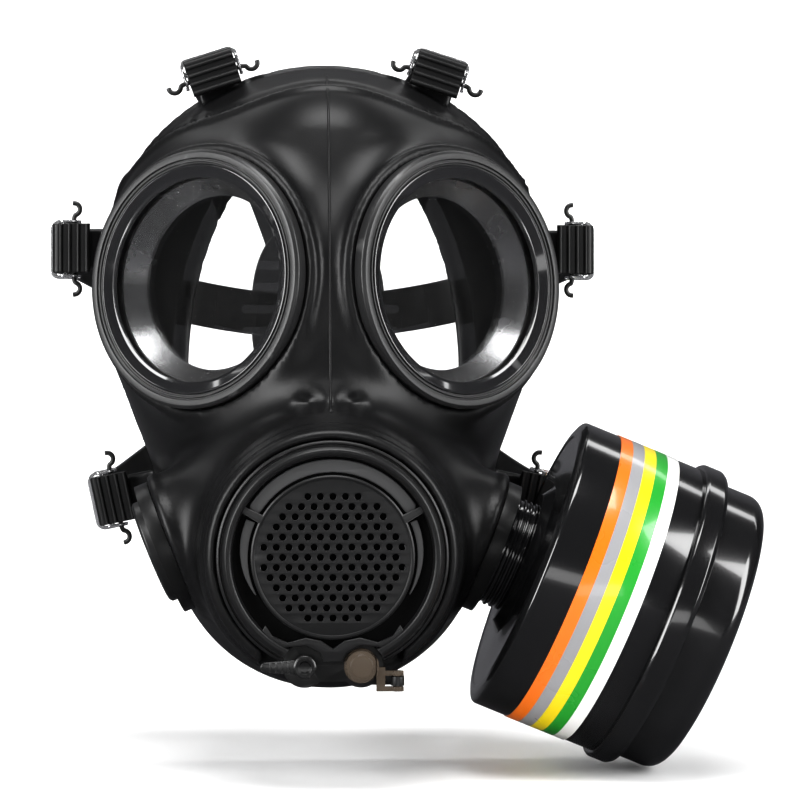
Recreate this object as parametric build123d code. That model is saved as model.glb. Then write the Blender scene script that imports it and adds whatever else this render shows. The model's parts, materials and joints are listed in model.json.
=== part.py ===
from build123d import *
import os
from math import cos, radians, sin, sqrt

# Full-face smoke and gas mask with two round eyepieces, a front speech and exhale unit, a screw-on filter
# canister on one cheek, a blanking cap on the other, and a six-strap head harness on hinged buckles.
#
# Frame: millimetres, +X to the wearer's left, -Y out of the front of the mask, +Z up.
# The origin is the centre of the face opening, where the wearer's face goes in along -Y.

os.makedirs("parts", exist_ok=True)

SIDES = {"right": -1, "left": 1}  # the wearer's right is -X

# ---------------------------------------------------------------- driving dimensions, mm
# Moulded face blank: three egg shapes about the Y axis, given as centre, radius and depth
WALL = 3.0
BROW = ((0, 5, 35), 84.5, 80.0)
CHEEK = ((0, -5, -12), 67.0, 80.0)
CHIN = ((0, -20, -53), 62.5, 78.0)
NOSE_TOP = (0, -42, 70)
NOSE_FOOT = (0, -72, -12)
NOSE_RADIUS = 20.0
RIM_RADIUS = 222.0  # the rear edge follows a cylinder that lies across the face
RIM_REACH = 7.0  # furthest back point of the rear edge
RIM_HEIGHT = 5.0

# Face seal: the thin lip turned in from the rear edge
SEAL_THICK = 2.4
SEAL_HALF_WIDTH = 53.0
SEAL_HALF_HEIGHT = 92.0
SEAL_MID_HEIGHT = 2.0
SEAL_GAP = 0.05
SEAL_FRONT_Y = -40.0  # no lip in front of this
SEAL_INSET = 0.5

# Eyepieces
LENS_CENTRE = (48.5, -66.0, 34.0)
LENS_YAW = 36.0
LENS_PITCH = 3.0
BEZEL_RADIUS = 46.0
BEZEL_THICK = 5.0
BEZEL_TUBE_WALL = 0.6
BEZEL_LIP_RADIUS = BEZEL_RADIUS - 9.6
LENS_RADIUS = BEZEL_RADIUS - 7.6
LENS_CLEAR_RADIUS = BEZEL_RADIUS - 14.7
LENS_THICK = 2.4
LENS_SET = 1.3  # how far the lens lies behind its own thickness under the bezel's face
GASKET_THICK = 1.05
COLLAR_RADIUS = BEZEL_RADIUS + 2.6
COLLAR_FLARE = 0.7
COLLAR_BORE = BEZEL_RADIUS - 5.0
COLLAR_DEPTH = 8.5
FRONT_CLEARANCE = 0.4  # between the rubber and the rings set into it
FRAME_FLANGE_THICK = 2.6
BOSS_WALL = 3.0
LENS_BOSS_REACH = 34.0
BOSS_OVERRUN = 20.0
COLLAR_STEP = 1.6  # front lip that grips the bezel from below

# Front speech and exhale unit, its axis along -Y
MOUTH_CENTRE = (0, -118, -61)
HOUSING_RADIUS = 37.0
HOUSING_WALL = 2.2
HOUSING_DEPTH = 26.0
HOUSING_FLOOR = 2.0
COVER_RADIUS = HOUSING_RADIUS + 1.8
COVER_RIM_RADIUS = HOUSING_RADIUS - 3.6
COVER_HEIGHT = 9.0
COVER_SKIRT = 4.0
COVER_RECESS = 5.0
SPOKE_ANGLES = (30, 150)
SPOKE_WIDTH = 5.0
FOOT_WIDTH = 30.0
GRILLE_RADIUS = HOUSING_RADIUS - 10.2
GRILLE_THICK = 2.0
GRILLE_HOLE_RADIUS = 1.2
GRILLE_PITCH = 0.1556 * GRILLE_RADIUS
GRILLE_ROW_PITCH = 0.1254 * GRILLE_RADIUS
GRILLE_ROWS = (5, 8, 9, 10, 11, 12, 11, 12, 11, 10, 9, 8, 5)
MOUTH_COLLAR_RADIUS = HOUSING_RADIUS + 5.8
MOUTH_COLLAR_PROUD = 2.0
MOUTH_BOSS_REACH = 62.0
NOTCH_TOP = 9.0  # above the drinking fittings
NOTCH_HEIGHT = 26.0
NOTCH_DEPTH = 30.0
SPIGOT_RADIUS = 19.0
SPIGOT_WALL = 2.0
SPIGOT_LENGTH = 12.0
SEAT_THICK = 2.0
EXHALE_VALVE_THICK = 0.9

# Drinking fittings below the grille, one each side of the middle
DRINK_OFFSET = 9.4
DRINK_DROP = HOUSING_RADIUS - 1.0
DRINK_LOBE_RADIUS = 7.4
DRINK_WEB_STEP = 2.0
DRINK_BORE = 3.0
DRINK_BLOCK_DEPTH = 11.9
DRINK_BLOCK_TOP = 5.2
LEVER_LENGTH = 13.0
LEVER_WIDTH = 5.0
LEVER_THICK = 3.0
DRINK_CAP_RADIUS = 5.8
DRINK_CAP_HEIGHT = 6.4
DRINK_SPIGOT_HEIGHT = 3.0
DRINK_SPIGOT_WALL = 1.2
DRINK_SPIGOT_ROOM = 0.6
TETHER_X = 21.5
TETHER_DROP = DRINK_DROP + 5.0
TETHER_RISE = 2.0  # pivot above the block
TETHER_EYE_RADIUS = 2.2
TETHER_PIN_RADIUS = 1.0
TETHER_ARM_OFFSET = 2.6
TETHER_ARM_WIDTH = 1.6
TETHER_ARM_THICK = 2.0
TETHER_ARM_GAP = 0.1  # between the skirt's bore and the start of the arms
TETHER_BRIDGE_LENGTH = 3.0
TETHER_BRIDGE_WIDTH = 8.0
TETHER_BRIDGE_SHIFT = 0.6
TETHER_EYE_WIDTH = 3.0
STRAW_RADIUS = 2.8
STRAW_WALL = 0.9
STRAW_DROP = HOUSING_RADIUS - 10.0
STRAW_TURN_Y = -56.0
STRAW_BEND = 9.0
STRAW_TOP_Z = -68.0

# Cheek ports: the filter's on the wearer's left, the blanked one on the right
CANISTER_RADIUS = 53.5
BUCKLE_ROOM = 12.5  # behind the canister, up to the frame's own middle plane, for the lower buckle
PORT_CENTRE = (59.5, -(CANISTER_RADIUS + BUCKLE_ROOM), -61.5)
PORT_DROOP = 22.3
THREAD_RADIUS = 20.0
PORT_FLANGE_RADIUS = THREAD_RADIUS + 3.75
PORT_FLANGE_THICK = 5.0
PORT_TUBE_RADIUS = THREAD_RADIUS + 2.0
PORT_DEPTH = 14.0
PORT_BOSS_RADIUS = THREAD_RADIUS + 5.6
PORT_BOSS_REACH = 40.0
THREAD_PITCH = 3.63
THREAD_DEPTH = 0.8
THREAD_CLEARANCE = 0.3
NECK_BORE = THREAD_RADIUS - 4.5
NECK_RIB_PITCH = 2.1
WASHER_THICK = 1.5
SOCKET_FLOOR = 2.0
PORT_VALVE_THICK = 0.9
CAP_RADIUS = THREAD_RADIUS - 1.4
CAP_PROUD = 3.4
CAP_WALL = 2.4
CAP_EDGE = 0.9
CAP_GRIP_DEPTH = 1.4

# Filter canister
CANISTER_WALL = 2.0
NECK_EXPOSED = 8.0
CANISTER_SHOULDER = 4.0
BODY_LENGTH = 49.0
SEAM_RING_WIDTH = 8.5
SEAM_RING_PROUD = 2.2
END_RADIUS = CANISTER_RADIUS - 1.9
END_LENGTH = 21.0
END_ROUND = 6.5
LABEL_START = 13.0  # from the can's near rim
LABEL_WIDTH = 22.0
LABEL_THICK = 0.25
INLET_RADIUS = 14.0
INLET_BAR = 2.0
GRID_THICK = 1.2
GRID_HOLE_RADIUS = 2.2
GRID_HOLE_PITCH = 8.0
CARBON_DEPTH = 28.0
PLEAT_DEPTH = 12.0
PLEAT_PITCH = 5.0
PAPER_THICK = 0.6

# Strap buckles: pin centre, outward tilt of the buckle in the XZ plane, one side only
BUCKLES = {
    "top": ((41.6, -20.0, 111.5), 72.0),
    "temple": ((94.0, -3.0, 48.0), 0.0),
    "lower": ((78.5, -3.5, -45.5), -12.0),
}
BUCKLE_LEAN = 8.0  # how far the outer end leans back
PIN_RADIUS = 1.0
PIN_HALF = 12.6
HOOK_RADIUS = 2.3
TAB_WIDTH = 15.0
TAB_LENGTH = 20.0
TAB_THICK = 3.5
TAB_EYE_RADIUS = 2.6
EAR_INNER = 9.8
EAR_THICK = 0.8
PLATE_HALF_WIDTH = 11.2
PLATE_REACH = 10.0
PLATE_THICK = 0.9
PLATE_DROP = 3.0
PLATE_ROUND = 5.0
BAR_INNER = 2.9
BAR_GAP = 0.3
EAR_BACK = 2.0  # behind the pin
STRAP_WIDTH = 18.4
STRAP_THICK = 2.0
STRAP_REACH = 5.2
TAIL_REACH = 7.0
TAIL_HEIGHT = 4.2
RIB_COUNT = 4
RIB_PITCH = 4.4
RIB_WIDTH = 1.98
STRAP_GAP = 3.0  # between the folded tail and the run of the strap

# Head harness: one moulded pad with six straps that run to the buckles
PAD_Y = 105.0
PAD_THICK = 2.5
PAD_CENTRE_Z = 27.0
PAD_HALF_WIDTH = 27.0
PAD_HALF_HEIGHT = 38.0
RUN_END = {"top": (13.0, 58.0), "temple": (20.0, 27.0), "lower": (13.0, -2.0)}
RUN_CORNER = {"top": (34.0, 118.0), "temple": (88.0, 34.0), "lower": (74.0, -34.0)}
RUN_LEAVE = 55.0  # how far each strap holds its first direction
RUN_ARRIVE = 60.0
RUN_SECTIONS = 9
RUN_START = 12.0  # behind the buckle pin
LOOP_END = 8.6

# Nose cup
CUP = ((0, -34, -50), 37.0, 52.0)
CUP_WALL = 2.0
CUP_EDGE_Y = -20.0
CUP_COLLAR_WALL = 2.4
CUP_VALVE_DIRECTION = (0.72, -0.42, 0.55)
CUP_VALVE_RADIUS = 8.0
CUP_VALVE_THICK = 0.8
CUP_SEAT_DEPTH = 3.4

FAR = 400.0  # longer than the whole part, for cutting bodies
FIT = 0.05  # sliding gap between pieces that are pressed or bonded together


# ---------------------------------------------------------------- small helpers
def disc(radius, low, high):
    return Pos(0, 0, low) * Cylinder(radius, high - low, align=(Align.CENTER, Align.CENTER, Align.MIN))


def ring(outer, inner, low, high):
    return disc(outer, low, high) - disc(inner, low - 1, high + 1)


def turned(*points):
    """A solid of revolution about Z from (radius, height) corners."""
    return revolve(make_face(Plane.XZ * Polyline(*points, close=True)), Axis.Z, 360)


def bar(start, end, radius):
    """A round bar between two points with ball ends."""
    a, b = Vector(*start), Vector(*end)
    along = Plane(origin=a, z_dir=b - a)
    return (along * disc(radius, 0, (b - a).length)) + Pos(*a) * Sphere(radius) + Pos(*b) * Sphere(radius)


def egg(shape, shrink=0.0):
    """A spheroid about the Y axis."""
    centre, radius, depth = shape
    half = Ellipse(radius - shrink, depth - shrink) & Pos(radius, 0) * Rectangle(2 * radius, 2 * depth)
    return Pos(*centre) * revolve(half, Axis.Y, 360)


def mirrored(point, side):
    return (side * point[0], point[1], point[2])


def lens_plane(side):
    yaw, pitch = radians(LENS_YAW), radians(LENS_PITCH)
    out = (side * sin(yaw) * cos(pitch), -cos(yaw) * cos(pitch), sin(pitch))
    return Plane(origin=mirrored(LENS_CENTRE, side), x_dir=(side * cos(yaw), sin(yaw), 0), z_dir=out)


def port_plane(side):
    droop = radians(PORT_DROOP)
    out = (side * cos(droop), 0, -sin(droop))
    return Plane(origin=mirrored(PORT_CENTRE, side), x_dir=(0, 1, 0), z_dir=out)


MOUTH_PLANE = Plane(origin=MOUTH_CENTRE, x_dir=(1, 0, 0), z_dir=(0, -1, 0))


def buckle_plane(name, side):
    """X points outward along the buckle, Z towards the front."""
    pin, tilt = BUCKLES[name]
    tilt, lean = radians(tilt), radians(BUCKLE_LEAN)
    out = (side * cos(tilt) * cos(lean), sin(lean), sin(tilt) * cos(lean))
    front = (side * cos(tilt) * sin(lean), -cos(lean), sin(tilt) * sin(lean))
    return Plane(origin=mirrored(pin, side), x_dir=out, z_dir=front)


def cup_valve_plane(side):
    centre, radius, depth = CUP
    a, b, g = CUP_VALVE_DIRECTION
    size = sqrt(a * a + b * b + g * g)
    a, b, g = side * a / size, b / size, g / size
    point = (centre[0] + radius * a, centre[1] + depth * b, centre[2] + radius * g)
    return Plane(origin=point, z_dir=(a / radius, b / depth, g / radius))


nodes = {}


# ---------------------------------------------------------------- face blank and seal
def rim_keep(inset=0.0):
    """Everything in front of the curved rear edge."""
    radius = RIM_RADIUS - inset
    roll = Rot(0, 90, 0) * Cylinder(radius, FAR)
    return Pos(0, RIM_REACH - RIM_RADIUS, RIM_HEIGHT) * roll


def face_inside():
    """The room inside the blank, with the room behind each boss."""
    collar_back = -BEZEL_THICK - COLLAR_DEPTH
    lens_room = COLLAR_RADIUS + COLLAR_FLARE - BOSS_WALL
    inside = egg(BROW, WALL) + egg(CHEEK, WALL) + egg(CHIN, WALL)
    inside += bar(NOSE_TOP, NOSE_FOOT, NOSE_RADIUS - WALL)
    for side in SIDES.values():
        inside += lens_plane(side) * disc(lens_room, -LENS_BOSS_REACH - BOSS_OVERRUN, collar_back)
        port_room = disc(PORT_TUBE_RADIUS + FIT, -PORT_BOSS_REACH - WALL, 1 - PORT_FLANGE_THICK)
        inside += port_plane(side) * port_room
    return inside + MOUTH_PLANE * disc(HOUSING_RADIUS + FIT, -MOUTH_BOSS_REACH - WALL, COVER_HEIGHT)


def face_blank(inside):
    blank = egg(BROW) + egg(CHEEK) + egg(CHIN) + bar(NOSE_TOP, NOSE_FOOT, NOSE_RADIUS)
    for side in SIDES.values():
        collar = turned(
            (0, -LENS_BOSS_REACH),
            (COLLAR_RADIUS + COLLAR_FLARE, -LENS_BOSS_REACH),
            (COLLAR_RADIUS + COLLAR_FLARE, -2 * BEZEL_THICK),
            (COLLAR_RADIUS, 1 - 2 * BEZEL_THICK),
            (COLLAR_RADIUS, -BEZEL_THICK - COLLAR_STEP - 0.6),
            (BEZEL_RADIUS, -BEZEL_THICK - COLLAR_STEP),
            (BEZEL_RADIUS, -BEZEL_THICK),
            (0, -BEZEL_THICK),
        )
        blank += lens_plane(side) * collar
        blank += port_plane(side) * disc(PORT_BOSS_RADIUS, -PORT_BOSS_REACH, -PORT_FLANGE_THICK)
    blank += MOUTH_PLANE * disc(MOUTH_COLLAR_RADIUS, -MOUTH_BOSS_REACH, MOUTH_COLLAR_PROUD)
    blank = (blank - inside) & rim_keep()
    # the lens bores go right through the collars; nothing stands in front of the bezels or port flanges
    for side in SIDES.values():
        blank -= lens_plane(side) * disc(COLLAR_BORE, -BOSS_OVERRUN, 0)
        blank -= lens_plane(side) * disc(BEZEL_RADIUS + FRONT_CLEARANCE, -BEZEL_THICK, BOSS_OVERRUN)
        port_front = disc(PORT_FLANGE_RADIUS + FRONT_CLEARANCE, -PORT_FLANGE_THICK, PORT_BOSS_REACH)
        blank -= port_plane(side) * port_front
    # the mouth collar's front lip stops each side of the drinking fittings and clears the cover's skirt
    groove = ring(COVER_RADIUS + FRONT_CLEARANCE, HOUSING_RADIUS - 1, -COVER_SKIRT - 0.3, COVER_HEIGHT)
    notch = Box(2 * TETHER_X + 5, NOTCH_HEIGHT, NOTCH_DEPTH, align=(Align.CENTER, Align.MAX, Align.MIN))
    blank -= MOUTH_PLANE * groove
    blank -= MOUTH_PLANE * Pos(0, NOTCH_TOP - DRINK_DROP, -DRINK_BLOCK_DEPTH) * notch
    return blank


def strap_tab(name, side, inside):
    """A lug moulded on the blank's rear edge, with an eye for the buckle pin."""
    plane = buckle_plane(name, side)
    lug = Box(TAB_LENGTH, TAB_WIDTH, TAB_THICK, align=(Align.MAX, Align.CENTER, Align.CENTER))
    eye = Rot(90, 0, 0) * Cylinder(TAB_EYE_RADIUS, TAB_WIDTH)
    hole = Rot(90, 0, 0) * Cylinder(PIN_RADIUS + 0.1, TAB_WIDTH + 2)
    return plane * (lug + eye - hole) - inside


def face_seal():
    """The lip lies along the rear edge and leaves an oval for the face."""
    room = egg(BROW, WALL + SEAL_GAP) + egg(CHEEK, WALL + SEAL_GAP) + egg(CHIN, WALL + SEAL_GAP)
    lip = room & (rim_keep(SEAL_INSET) - rim_keep(SEAL_INSET + SEAL_THICK))
    oval = Pos(0, 0, SEAL_MID_HEIGHT) * Rot(90, 0, 0) * extrude(
        Ellipse(SEAL_HALF_WIDTH, SEAL_HALF_HEIGHT), FAR / 2, both=True
    )
    front = Pos(0, SEAL_FRONT_Y, 0) * Box(FAR, FAR, FAR, align=(Align.CENTER, Align.MAX, Align.CENTER))
    return lip - oval - front


inside = face_inside()
blank = face_blank(inside)
for name in BUCKLES:
    for side in SIDES.values():
        blank += strap_tab(name, side, inside)
nodes["facepiece"] = blank
nodes["face_seal"] = face_seal()


# ---------------------------------------------------------------- eyepieces
def lens_bezel():
    """Front ring: flat outer band, a fine groove, then a dished face down to the lens lip."""
    seat = -LENS_THICK - LENS_SET + 0.1
    tube_end = -BEZEL_THICK - COLLAR_DEPTH + 2
    return turned(
        (BEZEL_LIP_RADIUS, seat),
        (COLLAR_BORE - BEZEL_TUBE_WALL, seat),
        (COLLAR_BORE - BEZEL_TUBE_WALL, tube_end),
        (COLLAR_BORE - FIT, tube_end),
        (COLLAR_BORE - FIT, -BEZEL_THICK),
        (BEZEL_RADIUS, -BEZEL_THICK),
        (BEZEL_RADIUS, -1.0),
        (BEZEL_RADIUS - 1.0, 0),
        (BEZEL_RADIUS - 3.0, 0),
        (BEZEL_RADIUS - 3.3, -0.7),
        (BEZEL_RADIUS - 3.9, -0.7),
        (BEZEL_RADIUS - 4.2, -0.2),
        (BEZEL_RADIUS - 4.8, -0.4),
        (BEZEL_LIP_RADIUS + 0.6, -2.6),
        (BEZEL_LIP_RADIUS, -2.6),
    )


def lens_disc():
    return disc(LENS_RADIUS, LENS_BACK, LENS_BACK + LENS_THICK)


LENS_BACK = -2 * LENS_THICK - LENS_SET
FRAME_FRONT = LENS_BACK - GASKET_THICK - 0.15


def lens_gasket():
    return ring(LENS_RADIUS, BEZEL_LIP_RADIUS, LENS_BACK - FIT - GASKET_THICK, LENS_BACK - FIT)


def lens_frame():
    """Funnel behind the lens, with a rear flange that grips the rubber collar."""
    rear = -BEZEL_THICK - COLLAR_DEPTH
    flange = COLLAR_RADIUS - BOSS_WALL + 0.4
    step = rear + 1.8
    return turned(
        (BEZEL_LIP_RADIUS, FRAME_FRONT),
        (LENS_RADIUS + 1.0, FRAME_FRONT),
        (LENS_RADIUS + 1.0, step),
        (COLLAR_BORE - FIT, step),
        (COLLAR_BORE - FIT, rear - FIT),
        (flange, rear - FIT),
        (flange, rear - FRAME_FLANGE_THICK),
        (LENS_CLEAR_RADIUS, rear - FRAME_FLANGE_THICK),
        (LENS_CLEAR_RADIUS, rear - 1.2),
    )


for label, side in SIDES.items():
    plane = lens_plane(side)
    nodes[f"lens_bezel_{label}"] = plane * lens_bezel()
    nodes[f"lens_{label}"] = plane * lens_disc()
    nodes[f"lens_gasket_{label}"] = plane * lens_gasket()
    nodes[f"lens_frame_{label}"] = plane * lens_frame()


# ---------------------------------------------------------------- front speech and exhale unit
def spoke(angle, inner, outer, width, low, high):
    arm = Box(outer - inner, width, high - low, align=(Align.MIN, Align.CENTER, Align.MIN))
    return Rot(0, 0, angle) * Pos(inner, 0, low) * arm


def grille_holes(low, high):
    holes = []
    middle = (len(GRILLE_ROWS) - 1) / 2
    for row, count in enumerate(GRILLE_ROWS):
        for i in range(count):
            spot = Pos((i - (count - 1) / 2) * GRILLE_PITCH, (row - middle) * GRILLE_ROW_PITCH, 0)
            holes.append(spot * disc(GRILLE_HOLE_RADIUS, low, high))
    return holes


def speech_cover():
    """Outer rim, three spokes and the perforated disc, with a bay at the foot for the drinking fittings."""
    top, floor = COVER_HEIGHT, COVER_HEIGHT - COVER_RECESS
    rim = turned(
        (COVER_RIM_RADIUS, floor),
        (HOUSING_RADIUS + 0.2, floor),
        (HOUSING_RADIUS + 0.2, -COVER_SKIRT),
        (COVER_RADIUS, -COVER_SKIRT),
        (COVER_RADIUS, top - 2.4),
        (COVER_RADIUS - 1.4, top - 0.6),
        (COVER_RADIUS - 3.0, top),
        (COVER_RIM_RADIUS + 1.2, top - 1.0),
        (COVER_RIM_RADIUS, top - 2.0),
    )
    face = ring(GRILLE_RADIUS + 0.5, GRILLE_RADIUS - 3, floor, floor + 1 + GRILLE_THICK)
    face += disc(GRILLE_RADIUS, floor + 1, floor + 1 + GRILLE_THICK)
    for angle in SPOKE_ANGLES:
        face += spoke(angle, GRILLE_RADIUS - 1, COVER_RIM_RADIUS + 1, SPOKE_WIDTH, floor, floor + 2)
    foot = ring(COVER_RIM_RADIUS + 1, GRILLE_RADIUS, floor, floor + 2.4)
    foot &= Pos(0, -GRILLE_RADIUS + 6, floor) * Box(
        FOOT_WIDTH, 20, 8, align=(Align.CENTER, Align.MAX, Align.CENTER)
    )
    cover = rim + face + foot
    for x in (-DRINK_OFFSET, DRINK_OFFSET):
        cover -= Pos(x, -DRINK_DROP, 0) * disc(DRINK_LOBE_RADIUS + 0.2, -COVER_SKIRT - 2, COVER_HEIGHT + 2)
    web_top = -DRINK_DROP + DRINK_LOBE_RADIUS - DRINK_WEB_STEP + 0.2
    cover -= Pos(0, web_top, -COVER_SKIRT - 1) * Box(
        2 * DRINK_OFFSET, 30, 20, align=(Align.CENTER, Align.MAX, Align.MIN)
    )
    tools = grille_holes(floor - 1, floor + 4)
    return cover - tools


def front_housing():
    """Cup that the rubber collar is clamped on, with a spigot that the nose cup grips."""
    bottom = -HOUSING_DEPTH
    cup = ring(HOUSING_RADIUS, HOUSING_RADIUS - HOUSING_WALL, bottom, COVER_HEIGHT - COVER_RECESS - 0.1)
    cup += ring(HOUSING_RADIUS, SPIGOT_RADIUS - SPIGOT_WALL, bottom - HOUSING_FLOOR, bottom)
    cup += ring(SPIGOT_RADIUS, SPIGOT_RADIUS - SPIGOT_WALL, bottom - SPIGOT_LENGTH, bottom - HOUSING_FLOOR)
    room_width = 2 * (DRINK_OFFSET + DRINK_LOBE_RADIUS + FIT)
    block_room = Pos(0, -DRINK_DROP, -DRINK_BLOCK_DEPTH) * Box(
        room_width, 2 * DRINK_LOBE_RADIUS + 2 * FIT, 30, align=(Align.CENTER, Align.CENTER, Align.MIN)
    )
    straw_room = Pos(-DRINK_OFFSET / 2, -STRAW_DROP, 0) * disc(STRAW_RADIUS + FIT, bottom - 4, bottom + 2)
    return cup - block_room - straw_room


def drink_block():
    """Two-lobed block in the foot of the housing: one lobe holds the tap, the other the capped spigot."""
    height = DRINK_BLOCK_TOP + DRINK_BLOCK_DEPTH
    low = -DRINK_BLOCK_DEPTH + FIT
    block = Pos(0, -DRINK_DROP, low) * Box(
        2 * DRINK_OFFSET,
        2 * (DRINK_LOBE_RADIUS - DRINK_WEB_STEP),
        height - FIT,
        align=(Align.CENTER, Align.CENTER, Align.MIN),
    )
    for x in (-DRINK_OFFSET, DRINK_OFFSET):
        block += Pos(x, -DRINK_DROP, 0) * disc(DRINK_LOBE_RADIUS, low, DRINK_BLOCK_TOP)
    spigot = Pos(DRINK_OFFSET, -DRINK_DROP, 0)
    spigot_top = DRINK_BLOCK_TOP + DRINK_SPIGOT_HEIGHT
    block += spigot * disc(DRINK_BORE + DRINK_SPIGOT_WALL, DRINK_BLOCK_TOP - 1, spigot_top)
    arm_length = TETHER_X + TETHER_EYE_RADIUS - DRINK_OFFSET
    ear = Pos(TETHER_X, -TETHER_DROP, DRINK_BLOCK_TOP + TETHER_RISE) * Rot(90, 0, 0)
    block += Pos(DRINK_OFFSET, -TETHER_DROP, DRINK_BLOCK_TOP) * Box(
        arm_length, TETHER_EYE_WIDTH, 4.0, align=(Align.MIN, Align.CENTER, Align.MAX)
    )
    block += ear * Cylinder(TETHER_EYE_RADIUS, TETHER_EYE_WIDTH)
    ear_foot = Box(2 * TETHER_EYE_RADIUS, TETHER_EYE_WIDTH, 4.0)
    block += Pos(TETHER_X, -TETHER_DROP, DRINK_BLOCK_TOP - 1) * ear_foot
    block -= ear * Cylinder(TETHER_PIN_RADIUS + FIT, TETHER_EYE_WIDTH + 1)
    block -= spigot * disc(DRINK_BORE - 1, -20, 20)
    block -= Pos(-DRINK_OFFSET, -DRINK_DROP, 0) * disc(DRINK_BORE + FIT, -6, 8)
    # the cross way from the spigot past the tap to the drinking tube
    block -= Pos(0, -DRINK_DROP, -3) * Rot(0, 90, 0) * Cylinder(DRINK_BORE - 1.4, 2 * DRINK_OFFSET)
    return block


def drink_lever():
    """Tap: a plug in its bore, a ring-shaped hub and a lever that points outward."""
    top = COVER_HEIGHT + 0.3
    lever = disc(DRINK_BORE, -5.7, top + 0.2)
    lever += disc(LEVER_WIDTH / 2 + 1.4, DRINK_BLOCK_TOP + 0.3, top + LEVER_THICK)
    lever += Pos(0, 0, top) * Box(
        LEVER_LENGTH, LEVER_WIDTH, LEVER_THICK, align=(Align.MAX, Align.CENTER, Align.MIN)
    )
    lever += Pos(-LEVER_LENGTH, 0, 0) * disc(LEVER_WIDTH / 2, top, top + LEVER_THICK)
    lever -= disc(1.6, top + 1.6, top + LEVER_THICK + 1)
    lever -= Pos(0, 0, -3) * Rot(0, 90, 0) * Cylinder(DRINK_BORE - 1.4, 10)
    return Pos(-DRINK_OFFSET, -DRINK_DROP, 0) * lever


def drink_cap():
    """Domed cap over the spigot, on an arm that turns on the block's ear."""
    base = DRINK_BLOCK_TOP + 0.3
    top = base + DRINK_CAP_HEIGHT
    room = DRINK_BORE + DRINK_SPIGOT_WALL + DRINK_SPIGOT_ROOM
    outline = turned(
        (0, base + DRINK_SPIGOT_HEIGHT + 0.3),
        (room, base + DRINK_SPIGOT_HEIGHT + 0.3),
        (room, base),
        (DRINK_CAP_RADIUS, base),
        (DRINK_CAP_RADIUS, top - 1.8),
        (DRINK_CAP_RADIUS - 1.4, top - 0.4),
        (DRINK_CAP_RADIUS - 3.4, top),
        (0, top),
    )
    cap = Pos(DRINK_OFFSET, -DRINK_DROP, 0) * outline
    pivot_z = DRINK_BLOCK_TOP + TETHER_RISE
    pin_length = 2 * TETHER_ARM_OFFSET + TETHER_ARM_WIDTH
    arm_start = DRINK_OFFSET + room + TETHER_ARM_GAP
    cap += Pos(TETHER_X, -TETHER_DROP, pivot_z) * Rot(90, 0, 0) * Cylinder(TETHER_PIN_RADIUS, pin_length)
    for y in (-TETHER_DROP - TETHER_ARM_OFFSET, -TETHER_DROP + TETHER_ARM_OFFSET):
        cap += Pos(TETHER_X, y, pivot_z) * Rot(90, 0, 0) * Cylinder(2.0, TETHER_ARM_WIDTH)
        cap += Pos(TETHER_X, y, pivot_z) * Box(
            TETHER_X - arm_start,
            TETHER_ARM_WIDTH,
            TETHER_ARM_THICK,
            align=(Align.MAX, Align.CENTER, Align.CENTER),
        )
    bridge = Box(
        TETHER_BRIDGE_LENGTH,
        TETHER_BRIDGE_WIDTH,
        TETHER_ARM_THICK,
        align=(Align.MIN, Align.CENTER, Align.CENTER),
    )
    cap += Pos(arm_start, -TETHER_DROP + TETHER_BRIDGE_SHIFT, pivot_z) * bridge
    return cap


def drink_straw(radius, wall=None):
    """Fixed tube from the block, back through the housing floor and up inside the nose cup."""
    x = -DRINK_OFFSET / 2
    low_z = MOUTH_CENTRE[2] - STRAW_DROP
    start_y = MOUTH_CENTRE[1] + DRINK_BLOCK_DEPTH + FIT
    corner = STRAW_TURN_Y + STRAW_BEND
    half_turn = radians(45)
    middle = (x, STRAW_TURN_Y + STRAW_BEND * sin(half_turn), low_z + STRAW_BEND * (1 - cos(half_turn)))
    run = Line((x, start_y, low_z), (x, STRAW_TURN_Y, low_z))
    bend = ThreePointArc((x, STRAW_TURN_Y, low_z), middle, (x, corner, low_z + STRAW_BEND))
    rise = Line((x, corner, low_z + STRAW_BEND), (x, corner, STRAW_TOP_Z))
    section = Circle(radius) if wall is None else Circle(radius) - Circle(radius - wall)
    return sweep(Plane(origin=(x, start_y, low_z), z_dir=(0, 1, 0)) * section, run + bend + rise)


def exhale_seat():
    floor = -HOUSING_DEPTH + FIT
    seat = ring(SPIGOT_RADIUS + 3, SPIGOT_RADIUS - 3.5, floor, -HOUSING_DEPTH + SEAT_THICK)
    for angle in range(0, 360, 60):
        seat += spoke(angle, 2, SPIGOT_RADIUS - 3, 1.6, floor, -HOUSING_DEPTH + 1.6)
    return seat + disc(3.0, floor, -HOUSING_DEPTH + 1.6)


def exhale_disc():
    """Soft mushroom disc that lifts forward off its seat."""
    base = -HOUSING_DEPTH + SEAT_THICK + 0.1
    top = base + EXHALE_VALVE_THICK
    return disc(SPIGOT_RADIUS - 1.0, base, top) + disc(2.6, top, top + 1.7)


def diaphragm_frame():
    outer = GRILLE_RADIUS + 1.6
    top = COVER_HEIGHT - COVER_RECESS - 0.1
    return ring(outer, GRILLE_RADIUS - 1.6, -1.6, -0.4) + ring(outer, GRILLE_RADIUS + 0.2, -0.4, top)


def speech_diaphragm():
    return disc(GRILLE_RADIUS + 0.1, -0.3, 0.1)


def diaphragm_washer():
    return ring(GRILLE_RADIUS + 0.1, GRILLE_RADIUS - 2.6, 0.15, COVER_HEIGHT - COVER_RECESS - 0.1)


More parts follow.
